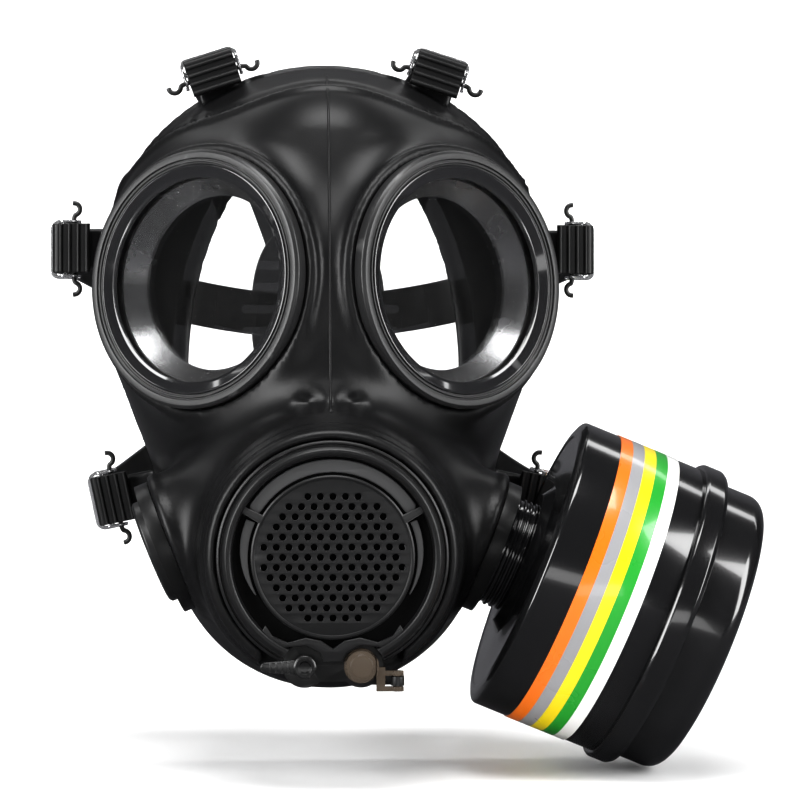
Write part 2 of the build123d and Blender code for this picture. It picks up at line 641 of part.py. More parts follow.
nodes["speech_cover"] = MOUTH_PLANE * speech_cover()
nodes["front_housing"] = MOUTH_PLANE * front_housing()
nodes["drink_block"] = MOUTH_PLANE * drink_block()
nodes["drink_lever"] = MOUTH_PLANE * drink_lever()
nodes["drink_cap"] = MOUTH_PLANE * drink_cap()
nodes["drink_straw"] = drink_straw(STRAW_RADIUS, STRAW_WALL)
nodes["exhale_valve_seat"] = MOUTH_PLANE * exhale_seat()
nodes["exhale_valve_disc"] = MOUTH_PLANE * exhale_disc()
nodes["diaphragm_frame"] = MOUTH_PLANE * diaphragm_frame()
nodes["speech_diaphragm"] = MOUTH_PLANE * speech_diaphragm()
nodes["diaphragm_washer"] = MOUTH_PLANE * diaphragm_washer()


# ---------------------------------------------------------------- cheek ports and blanking cap
def thread_rings(crest, root, low, high, pitch):
    """Plain rings of a rounded thread between two heights."""
    rings = disc(root, low, high)
    count = int((high - low - 1.0) / pitch)
    for i in range(count):
        middle = low + 1.0 + (i + 0.5) * pitch
        rings += turned(
            (0, middle - 0.35 * pitch),
            (root, middle - 0.35 * pitch),
            (crest, middle - 0.12 * pitch),
            (crest, middle + 0.12 * pitch),
            (root, middle + 0.35 * pitch),
            (0, middle + 0.35 * pitch),
        )
    return rings


def port_socket():
    """Threaded socket with a floor that the washer seals on, and a spider for the inlet valve."""
    floor = -PORT_DEPTH
    socket = disc(PORT_FLANGE_RADIUS, -PORT_FLANGE_THICK + FIT, 0)
    socket += disc(PORT_TUBE_RADIUS, floor - SOCKET_FLOOR, 0)
    bore = THREAD_RADIUS + THREAD_CLEARANCE
    socket -= thread_rings(bore + 0.6, bore, floor, 0, THREAD_PITCH) + disc(bore, floor, 1)
    socket -= disc(NECK_BORE, floor - SOCKET_FLOOR - 1, 0)
    for angle in range(0, 360, 60):
        socket += spoke(angle, 1, NECK_BORE + 0.5, 1.5, floor - SOCKET_FLOOR, floor - SOCKET_FLOOR + 1.2)
    return socket + disc(2.6, floor - SOCKET_FLOOR, floor - SOCKET_FLOOR + 1.2)


def port_valve():
    """Soft disc behind the spider, which lifts into the mask."""
    seat = -PORT_DEPTH - SOCKET_FLOOR - 0.1
    low = seat - PORT_VALVE_THICK
    return disc(NECK_BORE + 1.6, low, seat) + disc(2.4, low - 1.4, low)


def neck_washer():
    outer = THREAD_RADIUS - THREAD_DEPTH
    return ring(outer, NECK_BORE + 0.2, -PORT_DEPTH + FIT, -PORT_DEPTH + WASHER_THICK)


def blanking_cap():
    low = -PORT_DEPTH + WASHER_THICK + FIT
    root = THREAD_RADIUS - THREAD_DEPTH
    cap = thread_rings(THREAD_RADIUS, root, low, 0, THREAD_PITCH)
    cap += turned(
        (0, -0.5),
        (CAP_RADIUS, -0.5),
        (CAP_RADIUS, CAP_PROUD - CAP_EDGE),
        (CAP_RADIUS - CAP_EDGE, CAP_PROUD),
        (0, CAP_PROUD),
    )
    cap -= disc(root - CAP_WALL, low - 1, CAP_PROUD - CAP_WALL)
    for side in SIDES.values():
        pocket = disc(CAP_RADIUS - 4, CAP_PROUD - CAP_GRIP_DEPTH, CAP_PROUD + 1)
        cap -= pocket & Pos(side * (CAP_RADIUS / 2 + 2), 0, CAP_PROUD) * Box(CAP_RADIUS, 4 * CAP_RADIUS, 8)
    return cap


for label, side in SIDES.items():
    nodes[f"port_socket_{label}"] = port_plane(side) * port_socket()
    nodes[f"port_valve_disc_{label}"] = port_plane(side) * port_valve()
nodes["cap_washer"] = port_plane(SIDES["right"]) * neck_washer()
nodes["blanking_cap"] = port_plane(SIDES["right"]) * blanking_cap()
nodes["filter_washer"] = port_plane(SIDES["left"]) * neck_washer()


# ---------------------------------------------------------------- filter canister, along its port's axis
RIM = NECK_EXPOSED + CANISTER_SHOULDER
SEAM = RIM + BODY_LENGTH
TIP = SEAM + END_LENGTH
BORE = CANISTER_RADIUS - CANISTER_WALL
END_BORE = END_RADIUS - CANISTER_WALL


def filter_shell():
    """Threaded neck, sloping shoulder and the main can, open at the seam."""
    low = -PORT_DEPTH + WASHER_THICK + FIT
    root = THREAD_RADIUS - THREAD_DEPTH
    neck = thread_rings(THREAD_RADIUS, root, low, -0.5, THREAD_PITCH)
    neck += thread_rings(THREAD_RADIUS, root, -0.5, NECK_EXPOSED, NECK_RIB_PITCH)
    can = turned(
        (0, NECK_EXPOSED),
        (THREAD_RADIUS + 4, NECK_EXPOSED),
        (THREAD_RADIUS + 8, NECK_EXPOSED + CANISTER_SHOULDER - 1),
        (CANISTER_RADIUS - 2.5, RIM - 0.6),
        (CANISTER_RADIUS - 0.8, RIM),
        (CANISTER_RADIUS, RIM + 1.5),
        (CANISTER_RADIUS, SEAM - 0.3),
        (0, SEAM - 0.3),
    )
    can -= disc(BORE, RIM + CANISTER_WALL, SEAM + 1)
    return neck + can - disc(NECK_BORE, low - 1, RIM + CANISTER_WALL + 1)


def filter_end_cap():
    """Far end of the can, with a barred inlet in the middle."""
    r = END_ROUND
    outline = Polyline(
        (0, SEAM),
        (BORE - FIT, SEAM),
        (BORE - FIT, SEAM + 0.4),
        (END_RADIUS, SEAM + 0.4),
        (END_RADIUS, TIP - r),
    )
    edge = ThreePointArc(
        (END_RADIUS, TIP - r),
        (END_RADIUS - r * (1 - cos(radians(45))), TIP - r * (1 - sin(radians(45)))),
        (END_RADIUS - r, TIP),
    )
    face = Polyline(
        (END_RADIUS - r, TIP),
        (INLET_RADIUS + 3, TIP),
        (INLET_RADIUS + 2, TIP - 1),
        (0, TIP - 1),
        (0, SEAM),
    )
    cap = revolve(make_face(Plane.XZ * (outline + edge + face)), Axis.Z, 360)
    cap -= disc(END_BORE - 2, SEAM - 1, TIP - CANISTER_WALL - 1)
    cap -= disc(INLET_RADIUS, SEAM, TIP + 1)
    for angle in range(0, 180, 45):
        cap += Rot(0, 0, angle) * Pos(0, 0, TIP - 3) * Box(2 * INLET_RADIUS + 1, INLET_BAR, INLET_BAR)
    return cap


def filter_seam_ring():
    """Rolled ring that holds the can and its end together."""
    low, high = SEAM - SEAM_RING_WIDTH / 2, SEAM + SEAM_RING_WIDTH / 2
    outer = CANISTER_RADIUS + SEAM_RING_PROUD
    step = END_RADIUS + FIT
    return turned(
        (CANISTER_RADIUS + FIT, low),
        (outer - 0.8, low),
        (outer, low + 0.8),
        (outer, high - 1.6),
        (outer - 1.6, high),
        (step, high),
        (step, SEAM + 0.5),
        (CANISTER_RADIUS + FIT, SEAM + 0.5),
    )


def filter_label():
    low = RIM + LABEL_START
    return ring(CANISTER_RADIUS + LABEL_THICK + FIT, CANISTER_RADIUS + FIT, low, low + LABEL_WIDTH)


def grid_plate(radius, low):
    plate = disc(radius, low, low + GRID_THICK)
    reach = int(radius / GRID_HOLE_PITCH)
    holes = []
    for i in range(-reach, reach + 1):
        for j in range(-reach, reach + 1):
            x, y = i * GRID_HOLE_PITCH, j * GRID_HOLE_PITCH
            if sqrt(x * x + y * y) < radius - GRID_HOLE_PITCH / 2:
                holes.append(Pos(x, y, 0) * disc(GRID_HOLE_RADIUS, low - 1, low + GRID_THICK + 1))
    return plate - holes


GRID_LOW = RIM + CANISTER_WALL + 2.0
CARBON_LOW = GRID_LOW + GRID_THICK + FIT
GRID_HIGH = CARBON_LOW + CARBON_DEPTH + FIT
PLEAT_LOW = GRID_HIGH + GRID_THICK + 0.2


def pleat_pack():
    """Folded paper with a rim ring."""
    reach = BORE - 3
    count = int(2 * reach / PLEAT_PITCH)
    low, high = PLEAT_LOW, PLEAT_LOW + PLEAT_DEPTH
    start = -count * PLEAT_PITCH / 2
    front, back = [], []
    for i in range(2 * count + 1):
        x = start + i * PLEAT_PITCH / 2
        level = low if i % 2 == 0 else high - 2 * PAPER_THICK
        front.append((x, level))
        back.append((x, level + 2 * PAPER_THICK))
    fold = make_face(Plane.XZ * Polyline(*front, *reversed(back), close=True))
    sheet = extrude(fold, 2 * reach, both=True) & disc(BORE - 2.5, low - 1, high + 1)
    return sheet + ring(BORE - 0.3, BORE - 3, low, high)


shell_plane = port_plane(SIDES["left"])
nodes["filter_shell"] = shell_plane * filter_shell()
nodes["filter_end_cap"] = shell_plane * filter_end_cap()
nodes["filter_seam_ring"] = shell_plane * filter_seam_ring()
nodes["filter_label"] = shell_plane * filter_label()
nodes["filter_grid_near"] = shell_plane * grid_plate(BORE - 0.2, GRID_LOW)
nodes["filter_grid_far"] = shell_plane * grid_plate(BORE - 0.2, GRID_HIGH)
nodes["carbon_bed"] = shell_plane * disc(BORE - 0.3, CARBON_LOW, CARBON_LOW + CARBON_DEPTH)
nodes["particle_pleats"] = shell_plane * pleat_pack()


# ---------------------------------------------------------------- nose cup and its valves
def nose_cup():
    centre, radius, depth = CUP
    collar_front = -HOUSING_DEPTH - HOUSING_FLOOR - FIT
    collar = MOUTH_PLANE * disc(SPIGOT_RADIUS + CUP_COLLAR_WALL, 2 - MOUTH_BOSS_REACH, collar_front)
    cup = egg(CUP) + collar - egg(CUP, CUP_WALL)
    cup &= Pos(0, CUP_EDGE_Y, 0) * Box(FAR, FAR, FAR, align=(Align.CENTER, Align.MAX, Align.CENTER))
    cup -= MOUTH_PLANE * disc(SPIGOT_RADIUS + FIT, -MOUTH_BOSS_REACH, 0)
    cup -= drink_straw(STRAW_RADIUS + FIT)
    for side in SIDES.values():
        cup += cup_valve_plane(side) * disc(CUP_VALVE_RADIUS + 2.2, -CUP_WALL - 1.2, 0.2)
        cup -= cup_valve_plane(side) * disc(CUP_VALVE_RADIUS + FIT, -8, 3)
    return cup


def cup_valve_seat():
    seat = ring(CUP_VALVE_RADIUS, CUP_VALVE_RADIUS - 1.8, -CUP_SEAT_DEPTH, 0.4)
    seat += ring(CUP_VALVE_RADIUS + 1.4, CUP_VALVE_RADIUS - 1.8, 0.3, 1.3)
    for angle in range(0, 360, 90):
        seat += spoke(angle, 0.5, CUP_VALVE_RADIUS - 1.5, 1.2, -CUP_SEAT_DEPTH, -CUP_SEAT_DEPTH + 1)
    return seat


def cup_valve_disc():
    top = -CUP_SEAT_DEPTH - 0.1
    return disc(CUP_VALVE_RADIUS - 0.8, top - CUP_VALVE_THICK, top)


nodes["nose_cup"] = nose_cup()
seats = [cup_valve_plane(side) * cup_valve_seat() for side in SIDES.values()]
nodes["cup_valve_seats"] = Compound(children=seats)
for label, side in SIDES.items():
    nodes[f"cup_valve_disc_{label}"] = cup_valve_plane(side) * cup_valve_disc()


# ---------------------------------------------------------------- buckles
def buckle_pin():
    """Wire through the lug, with a curled hook at each end."""
    pin = Rot(90, 0, 0) * Cylinder(PIN_RADIUS, 2 * PIN_HALF)
    for end in (-1, 1):
        half = Box(10, 10, 10, align=(Align.MIN, Align.CENTER, Align.CENTER))
        hook = Torus(HOOK_RADIUS, PIN_RADIUS) - half
        pin += Pos(0, end * (PIN_HALF + HOOK_RADIUS), 0) * hook
    return pin


def buckle_frame():
    """Bent plate: two ears on the pin, the bar that the strap folds over and a D-shaped outer lip."""
    low = -PLATE_DROP - PLATE_THICK
    outline = Pos(-EAR_BACK, 0) * Rectangle(
        PLATE_REACH + EAR_BACK, 2 * PLATE_HALF_WIDTH, align=(Align.MIN, Align.CENTER)
    )
    outer = outline.vertices().sort_by(Axis.X)[-2:]
    outline = fillet(outer, PLATE_ROUND)
    window_length = EAR_BACK + 1 + STRAP_REACH + STRAP_THICK + BAR_GAP
    window = Pos(-EAR_BACK - 1, 0) * Rectangle(window_length, 2 * EAR_INNER, align=(Align.MIN, Align.CENTER))
    frame = Pos(0, 0, low) * extrude(outline - window, PLATE_THICK)
    bar_top = TAIL_HEIGHT - BAR_GAP
    bar_low = TAIL_HEIGHT - STRAP_GAP + BAR_GAP
    for end in (-1, 1):
        middle = end * (EAR_INNER + EAR_THICK / 2)
        frame += Pos(-EAR_BACK, middle, low) * Box(
            EAR_BACK + STRAP_REACH, EAR_THICK, bar_top - low, align=(Align.MIN, Align.CENTER, Align.MIN)
        )
    bar_length = STRAP_REACH - BAR_GAP - BAR_INNER
    frame += Pos(BAR_INNER, 0, bar_low) * Box(
        bar_length, 2 * EAR_INNER + 1, bar_top - bar_low, align=(Align.MIN, Align.CENTER, Align.MIN)
    )
    return frame - Rot(90, 0, 0) * Cylinder(PIN_RADIUS + FIT, 4 * PIN_HALF)


def strap_loop():
    """Ribbed end of a strap, folded over the buckle's bar."""
    top = TAIL_HEIGHT + STRAP_THICK
    outer = STRAP_REACH + STRAP_THICK
    section = make_face(
        Polyline(
            (-TAIL_REACH, TAIL_HEIGHT),
            (STRAP_REACH - 0.2, TAIL_HEIGHT),
            (STRAP_REACH, TAIL_HEIGHT - 0.3),
            (STRAP_REACH, -LOOP_END),
            (outer, -LOOP_END),
            (outer, top - 1.8),
            (outer - 0.6, top - 0.5),
            (outer - 1.8, top),
            (-TAIL_REACH, top),
            close=True,
        )
    )
    loop = extrude(Plane.XZ * section, STRAP_WIDTH / 2, both=True)
    for i in range(RIB_COUNT):
        y = (i - (RIB_COUNT - 1) / 2) * RIB_PITCH
        loop += Pos(-TAIL_REACH, y, top - 0.3) * Box(
            TAIL_REACH + outer - 2.2, RIB_WIDTH, 1.0, align=(Align.MIN, Align.CENTER, Align.MIN)
        )
    return loop


pins = []
for name in BUCKLES:
    for label, side in SIDES.items():
        plane = buckle_plane(name, side)
        pins.append(plane * buckle_pin())
        nodes[f"buckle_{name}_{label}"] = plane * buckle_frame()
        nodes[f"strap_loop_{name}_{label}"] = plane * strap_loop()
nodes["buckle_pins"] = Compound(children=pins)


# ---------------------------------------------------------------- head harness
def bezier(points, t):
    a, b, c, d = points
    u = 1 - t
    return a * u**3 + b * (3 * u * u * t) + c * (3 * u * t * t) + d * t**3


def harness_run(name, side):
    """One strap from behind its buckle to the pad, lofted through upright sections."""
    plane = buckle_plane(name, side)
    middle = STRAP_REACH + STRAP_THICK / 2
    start = plane.from_local_coords(Vector(middle, 0, -RUN_START))
    back = -plane.z_dir
    corner_x, corner_z = RUN_CORNER[name]
    end_x, end_z = RUN_END[name]
    end = Vector(side * end_x, PAD_Y + PAD_THICK / 2, end_z)
    corner = Vector(side * corner_x, PAD_Y, corner_z)
    arrive = end + (corner - end).normalized() * RUN_ARRIVE
    points = (start, start + back * RUN_LEAVE, arrive, end)
    inward = (end - corner).normalized()
    across_start, across_end = plane.y_dir, inward.cross(Vector(0, 1, 0)).normalized()
    if across_start.dot(across_end) < 0:
        across_end = -across_end
    sections = []
    for i in range(RUN_SECTIONS):
        t = i / (RUN_SECTIONS - 1)
        here = bezier(points, t)
        ahead = bezier(points, min(t + 0.01, 1.0)) - bezier(points, max(t - 0.01, 0.0))
        across = (across_start * (1 - t) + across_end * t).normalized()
        place = Plane(origin=here, x_dir=across, z_dir=ahead.normalized())
        sections.append(place * Rectangle(STRAP_WIDTH, STRAP_THICK))
    return loft(sections, ruled=True)


def head_harness():
    outline = Ellipse(PAD_HALF_WIDTH, PAD_HALF_HEIGHT)
    pad = Pos(0, PAD_Y + PAD_THICK, PAD_CENTRE_Z) * Rot(90, 0, 0) * extrude(outline, PAD_THICK)
    for name in BUCKLES:
        for side in SIDES.values():
            pad += harness_run(name, side)
    return pad


nodes["head_harness"] = head_harness()

for name, shape in nodes.items():
    export_step(shape, f"parts/{name}.step")
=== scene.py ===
"""Looks for the full-face respirator: moulded rubber face blank, turned eyepiece and canister parts, the
speech unit, drinking fittings, buckles and ribbed straps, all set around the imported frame.

Shapes are worked out in millimetres in the part's own frame and scaled to metres when a mesh is made.
"""

import json
import math

import bmesh
import bpy
import numpy as np
from mathutils import Matrix, Vector


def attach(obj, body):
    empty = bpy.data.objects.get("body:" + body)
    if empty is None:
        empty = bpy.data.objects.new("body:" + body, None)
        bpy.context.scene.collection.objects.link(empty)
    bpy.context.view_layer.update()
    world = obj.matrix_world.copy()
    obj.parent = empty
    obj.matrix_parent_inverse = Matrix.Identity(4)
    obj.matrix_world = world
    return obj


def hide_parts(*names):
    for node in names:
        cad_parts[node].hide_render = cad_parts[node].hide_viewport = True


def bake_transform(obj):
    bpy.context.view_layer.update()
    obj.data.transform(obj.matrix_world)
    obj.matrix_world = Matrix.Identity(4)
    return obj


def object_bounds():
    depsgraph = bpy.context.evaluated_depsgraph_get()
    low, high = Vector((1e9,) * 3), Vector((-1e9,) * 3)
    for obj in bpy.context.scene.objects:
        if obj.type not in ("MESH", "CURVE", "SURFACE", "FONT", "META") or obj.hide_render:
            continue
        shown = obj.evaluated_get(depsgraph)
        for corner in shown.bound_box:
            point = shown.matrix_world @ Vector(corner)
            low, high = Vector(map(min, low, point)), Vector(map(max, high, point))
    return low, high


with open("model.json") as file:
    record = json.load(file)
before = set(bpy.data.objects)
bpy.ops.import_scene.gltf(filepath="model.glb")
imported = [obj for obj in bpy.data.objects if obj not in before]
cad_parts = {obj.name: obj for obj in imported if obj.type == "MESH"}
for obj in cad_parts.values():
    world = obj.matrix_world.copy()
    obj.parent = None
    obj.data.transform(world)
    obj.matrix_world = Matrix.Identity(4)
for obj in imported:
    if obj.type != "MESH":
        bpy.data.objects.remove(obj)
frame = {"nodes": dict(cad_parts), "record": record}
NODES = frame["nodes"]
CAD_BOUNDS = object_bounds()
MM = 0.001
SIDES = {"right": -1, "left": 1}  # the wearer's right is -X

# ------------------------------------------------------------------ sizes shared with the frame, mm
BROW = ((0, 5, 35), 84.5, 80.0)
CHEEK = ((0, -5, -12), 67.0, 80.0)
CHIN = ((0, -20, -55), 57.5, 78.0)
NOSE_TOP = (0, -42, 78)
NOSE_FOOT = (0, -74, -8)
NOSE_RADII = (24.0, 13.0)  # at its top and foot
FORM_BLENDS = (14.0, 16.0, 22.0)  # brow to cheek, to chin, to nose
WALL = 3.0
RIM_RADIUS = 222.0
RIM_REACH = 7.0
RIM_HEIGHT = 5.0
BEAD_MIDDLE = 33.0  # in front of the rear edge, at the middle of the brow
BEAD_SIDE = 8.0
BEAD_HALF_SPAN = 68.0
BEAD_RISE = 1.2
BEAD_WIDTH = 1.7
BAND_SET_BACK = 0.8
BAND_BEHIND_BEAD = 4.0
BAND_FADE = 2.4
DIMPLE_X = 7.5
DIMPLE_Z = -9.5
DIMPLE_DEPTH = 2.2
SEAL_OVAL = (53.0, 92.0)  # half width and half height of the face opening
SEAL_OVAL_Z = 2.0
LEAST_WALL = 2.4

LENS_CENTRE = (48.5, -66.0, 34.0)
LENS_YAW = 36.0
LENS_PITCH = 3.0
BEZEL_RADIUS = 46.0
BEZEL_THICK = 5.0
BEZEL_LIP = 36.4
COLLAR_RADIUS = 48.6
COLLAR_BORE = 41.0
COLLAR_DEPTH = 8.5

MOUTH_CENTRE = (0, -118, -61)
MOUTH_COLLAR = 42.8
COVER_RADIUS = 38.8
COVER_RIM = 33.4
COVER_HEIGHT = 9.0
HOUSING_RADIUS = 37.0
GRILLE_RADIUS = 26.8
GRILLE_ROWS = (5, 8, 9, 10, 11, 12, 11, 12, 11, 10, 9, 8, 5)
GRILLE_PITCH = 4.17
GRILLE_ROW_PITCH = 3.36
GRILLE_HOLE = 1.15
DRINK_OFFSET = 9.4
DRINK_DROP = 36.0
DRINK_TOP = 5.2
TETHER_X = 21.5
BAY_LOBE = 7.4
LEVER_REACH = 13.0

PORT_CENTRE = (59.5, -66.0, -61.5)
PORT_DROOP = 22.3
PORT_FLANGE = 23.75
PORT_BOSS = 25.6
PORT_TUBE = 22.0
THREAD_RADIUS = 20.0
CANISTER = 53.5
RIM = 12.0
SEAM = 61.0
TIP = 82.0
END_RADIUS = 51.6
NECK_START = -12.4
NECK_END = 7.2
THREAD_PITCH = 3.63
RIB_START = -0.6  # grip ribs, closer than the thread, from here on
RIB_STEP = 2.1
LABEL_START = RIM + 13.0
LABEL_LENGTH = 22.0
LABEL_BANDS = (
    (0.75, 0.16, 0.01), (0.27, 0.27, 0.28), (0.80, 0.62, 0.01), (0.02, 0.30, 0.03), (0.85, 0.85, 0.83),
)
CAN_SEGMENTS = 208

BUCKLES = {
    "top": ((41.6, -20.0, 111.5), 72.0),
    "temple": ((94.0, -3.0, 48.0), 0.0),
    "lower": ((78.5, -3.5, -45.5), -12.0),
}
BUCKLE_LEAN = 8.0
LUG_LENGTH = 20.0
LUG_WIDTH = 15.0
LUG_THICK = 3.5
LUG_EYE = 2.6
PIN_HALF = 12.6
HOOK_RADIUS = 2.3
PLATE_HALF_WIDTH = 11.2
PLATE_REACH = 10.0
PLATE_TAIL = -2.0
WINDOW_REACH = 7.5
PLATE_LOW = -3.9
PLATE_TOP = -3.0
PLATE_ROUND = 3.6
WINDOW_ROUND = 1.2
EAR_INNER = 9.8
EAR_OUTER = 10.6
BAR_SPAN = (2.9, 4.9)
RIB_PITCH = 3.3
RIB_HEIGHT = 0.7
STRAP_WIDTH = 18.4
STRAP_THICK = 2.0
STRAP_REACH = 5.2
TAIL_REACH = 7.0
TAIL_HEIGHT = 4.2
PIN_RADIUS = 1.0
FOLD_RADIUS = 2.2
PAD_Y = 105.0
PAD_THICK = 2.5
PAD_CENTRE_Z = 27.0
PAD_HALF = (28.0, 40.0)
PAD_SLOTS = (-18.0, -9.0, 0.0, 9.0, 18.0)
RUN_END = {"top": (13.0, 58.0), "temple": (20.0, 27.0), "lower": (13.0, -2.0)}
RUN_CORNER = {"top": (34.0, 118.0), "temple": (88.0, 34.0), "lower": (74.0, -34.0)}
RUN_LEAVE = 55.0
RUN_ARRIVE = 60.0
RUN_START = 12.0

VIEW_AIM = (28.8, 0.0, -8.8)
VIEW_AZIMUTH = -3.0
VIEW_DISTANCE = 1.0  # m
VIEW_LENS = 118.6


# ------------------------------------------------------------------ placing
def axes_matrix(origin, x_dir, z_dir):
    """Local X and Z directions and an origin in mm, as a matrix that also scales to metres."""
    z = Vector(z_dir).normalized()
    x = Vector(x_dir)
    x = (x - z * x.dot(z)).normalized()
    y = z.cross(x)
    m = Matrix((x, y, z)).transposed().to_4x4()
    m.translation = Vector(origin)
    return Matrix.Scale(MM, 4) @ m


def mirrored(point, side):
    return (side * point[0], point[1], point[2])


def lens_axes(side):
    yaw, pitch = math.radians(LENS_YAW), math.radians(LENS_PITCH)
    out = (side * math.sin(yaw) * math.cos(pitch), -math.cos(yaw) * math.cos(pitch), math.sin(pitch))
    return mirrored(LENS_CENTRE, side), (side * math.cos(yaw), math.sin(yaw), 0), out


def port_axes(side):
    droop = math.radians(PORT_DROOP)
    return mirrored(PORT_CENTRE, side), (0, 1, 0), (side * math.cos(droop), 0, -math.sin(droop))


MOUTH_AXES = (MOUTH_CENTRE, (1, 0, 0), (0, -1, 0))


def buckle_axes(name, side):
    """X points outward along the buckle and Z to the front."""
    pin, tilt = BUCKLES[name]
    tilt, lean = math.radians(tilt), math.radians(BUCKLE_LEAN)
    out = (side * math.cos(tilt) * math.cos(lean), math.sin(lean), math.sin(tilt) * math.cos(lean))
    front = (side * math.cos(tilt) * math.sin(lean), -math.cos(lean), math.sin(tilt) * math.sin(lean))
    return mirrored(pin, side), out, front


# ------------------------------------------------------------------ materials
def grey(level, blue=None):
    """A neutral colour, or one whose blue is a little off."""
    return (level, level, level if blue is None else blue)


def shader(name, color, roughness, metallic=0.0, specular=0.5, coat=0.0, coat_roughness=0.1):
    mat = bpy.data.materials.new(name)
    mat.use_nodes = True
    bsdf = mat.node_tree.nodes["Principled BSDF"]
    bsdf.inputs["Base Color"].default_value = (*color, 1)
    bsdf.inputs["Roughness"].default_value = roughness
    bsdf.inputs["Metallic"].default_value = metallic
    bsdf.inputs["Specular IOR Level"].default_value = specular
    bsdf.inputs["Coat Weight"].default_value = coat
    bsdf.inputs["Coat Roughness"].default_value = coat_roughness
    return mat, bsdf


def add_node(tree, kind, inputs=None, **settings):
    """A shader node with its settings, and each input either linked or given its value."""
    made = tree.nodes.new("ShaderNode" + kind)
    for label, value in settings.items():
        setattr(made, label, value)
    for socket, value in (inputs or {}).items():
        if isinstance(value, bpy.types.NodeSocket):
            tree.links.new(value, made.inputs[socket])
        else:
            made.inputs[socket].default_value = value
    return made


def group(name, inputs, outputs):
    """A shader node group with named sockets; returns it with its inputs' sockets and its output node."""
    tree = bpy.data.node_groups.new(name, "ShaderNodeTree")
    for label, kind, default in inputs:
        socket = tree.interface.new_socket(label, in_out="INPUT", socket_type=kind)
        socket.default_value = default
    for label, kind in outputs:
        tree.interface.new_socket(label, in_out="OUTPUT", socket_type=kind)
    return tree, tree.nodes.new("NodeGroupInput").outputs, tree.nodes.new("NodeGroupOutput")


def build_grain():
    """Fine moulded texture: a height for bump, and the roughness varied by soft cloudy wiping marks."""
    tree, give, take = group(
        "moulded_grain",
        [
            ("Grain Size", "NodeSocketFloat", 2500.0),
            ("Grain Depth", "NodeSocketFloat", 0.1),
            ("Cloud Size", "NodeSocketFloat", 30.0),
            ("Roughness", "NodeSocketFloat", 0.4),
            ("Roughness Spread", "NodeSocketFloat", 0.1),
        ],
        [("Height", "NodeSocketFloat"), ("Roughness", "NodeSocketFloat")],
    )
    place = add_node(tree, "TexCoord").outputs["Object"]
    grain = add_node(tree, "TexNoise", {"Vector": place, "Scale": give["Grain Size"], "Detail": 2.0})
    cloud = add_node(
        tree, "TexNoise", {"Vector": place, "Scale": give["Cloud Size"], "Detail": 4.0, "Roughness": 0.6}
    )
    depth = add_node(tree, "Math", {0: grain.outputs["Fac"], 1: give["Grain Depth"]}, operation="MULTIPLY")
    centred = add_node(tree, "Math", {0: cloud.outputs["Fac"], 1: 0.5}, operation="SUBTRACT")
    spread = add_node(
        tree,
        "Math",
        {0: centred.outputs[0], 1: give["Roughness Spread"], 2: give["Roughness"]},
        operation="MULTIPLY_ADD",
    )
    tree.links.new(depth.outputs[0], take.inputs["Height"])
    tree.links.new(spread.outputs[0], take.inputs["Roughness"])
    return tree


def build_edge_wear():
    """Worn, dusty edges: mixes a base colour towards a lighter one where the surface is sharply convex."""
    tree, give, take = group(
        "edge_wear",
        [
            ("Base", "NodeSocketColor", (0.02, 0.02, 0.02, 1)),
            ("Worn", "NodeSocketColor", (0.1, 0.1, 0.1, 1)),
            ("Amount", "NodeSocketFloat", 0.5),
        ],
        [("Color", "NodeSocketColor")],
    )
    bend = add_node(tree, "NewGeometry").outputs["Pointiness"]
    sharp = add_node(tree, "MapRange", {"Value": bend, "From Min": 0.52, "From Max": 0.62})
    place = add_node(tree, "TexCoord").outputs["Object"]
    broken = add_node(tree, "TexNoise", {"Vector": place, "Scale": 180.0})
    patchy = add_node(
        tree, "Math", {0: sharp.outputs["Result"], 1: broken.outputs["Fac"]}, operation="MULTIPLY"
    )
    amount = add_node(tree, "Math", {0: patchy.outputs[0], 1: give["Amount"]}, operation="MULTIPLY")
    mix = add_node(
        tree, "Mix", {"Factor": amount.outputs[0], "A": give["Base"], "B": give["Worn"]}, data_type="RGBA"
    )
    tree.links.new(mix.outputs["Result"], take.inputs["Color"])
    return tree


GRAIN = build_grain()
EDGE_WEAR = build_edge_wear()


def lay_grain(mat, bsdf, values, bump, distance):
    """Puts the grain in a material, as its roughness and its bump."""
    tree = mat.node_tree
    grained = add_node(tree, "Group", values, node_tree=GRAIN)
    dent = add_node(
        tree, "Bump", {"Strength": bump, "Distance": distance, "Height": grained.outputs["Height"]}
    )
    tree.links.new(grained.outputs["Roughness"], bsdf.inputs["Roughness"])
    tree.links.new(dent.outputs["Normal"], bsdf.inputs["Normal"])


def dressed(
    name, color, worn, roughness, spread=0.08, grain=(2500.0, 0.1), bump=0.15, cloud=30.0, wear=0.6, **extra
):
    """A moulded or coated finish: grain (size, depth) in the bump, cloudy roughness and worn edges."""
    mat, bsdf = shader(name, color, roughness, **extra)
    values = {
        "Grain Size": grain[0],
        "Grain Depth": grain[1],
        "Cloud Size": cloud,
        "Roughness": roughness,
        "Roughness Spread": spread,
    }
    lay_grain(mat, bsdf, values, bump, 0.0004)
    colors = {"Base": (*color, 1), "Worn": (*worn, 1), "Amount": wear}
    edges = add_node(mat.node_tree, "Group", colors, node_tree=EDGE_WEAR)
    mat.node_tree.links.new(edges.outputs["Color"], bsdf.inputs["Base Color"])
    return mat


def glass_finish(name, color, alpha, roughness, clear=1.0):
    """Clear or smoky moulding that shows what is behind it."""
    mat, bsdf = shader(name, color, roughness)
    bsdf.inputs["Transmission Weight"].default_value = clear
    bsdf.inputs["IOR"].default_value = 1.15
    bsdf.inputs["Alpha"].default_value = alpha
    return mat


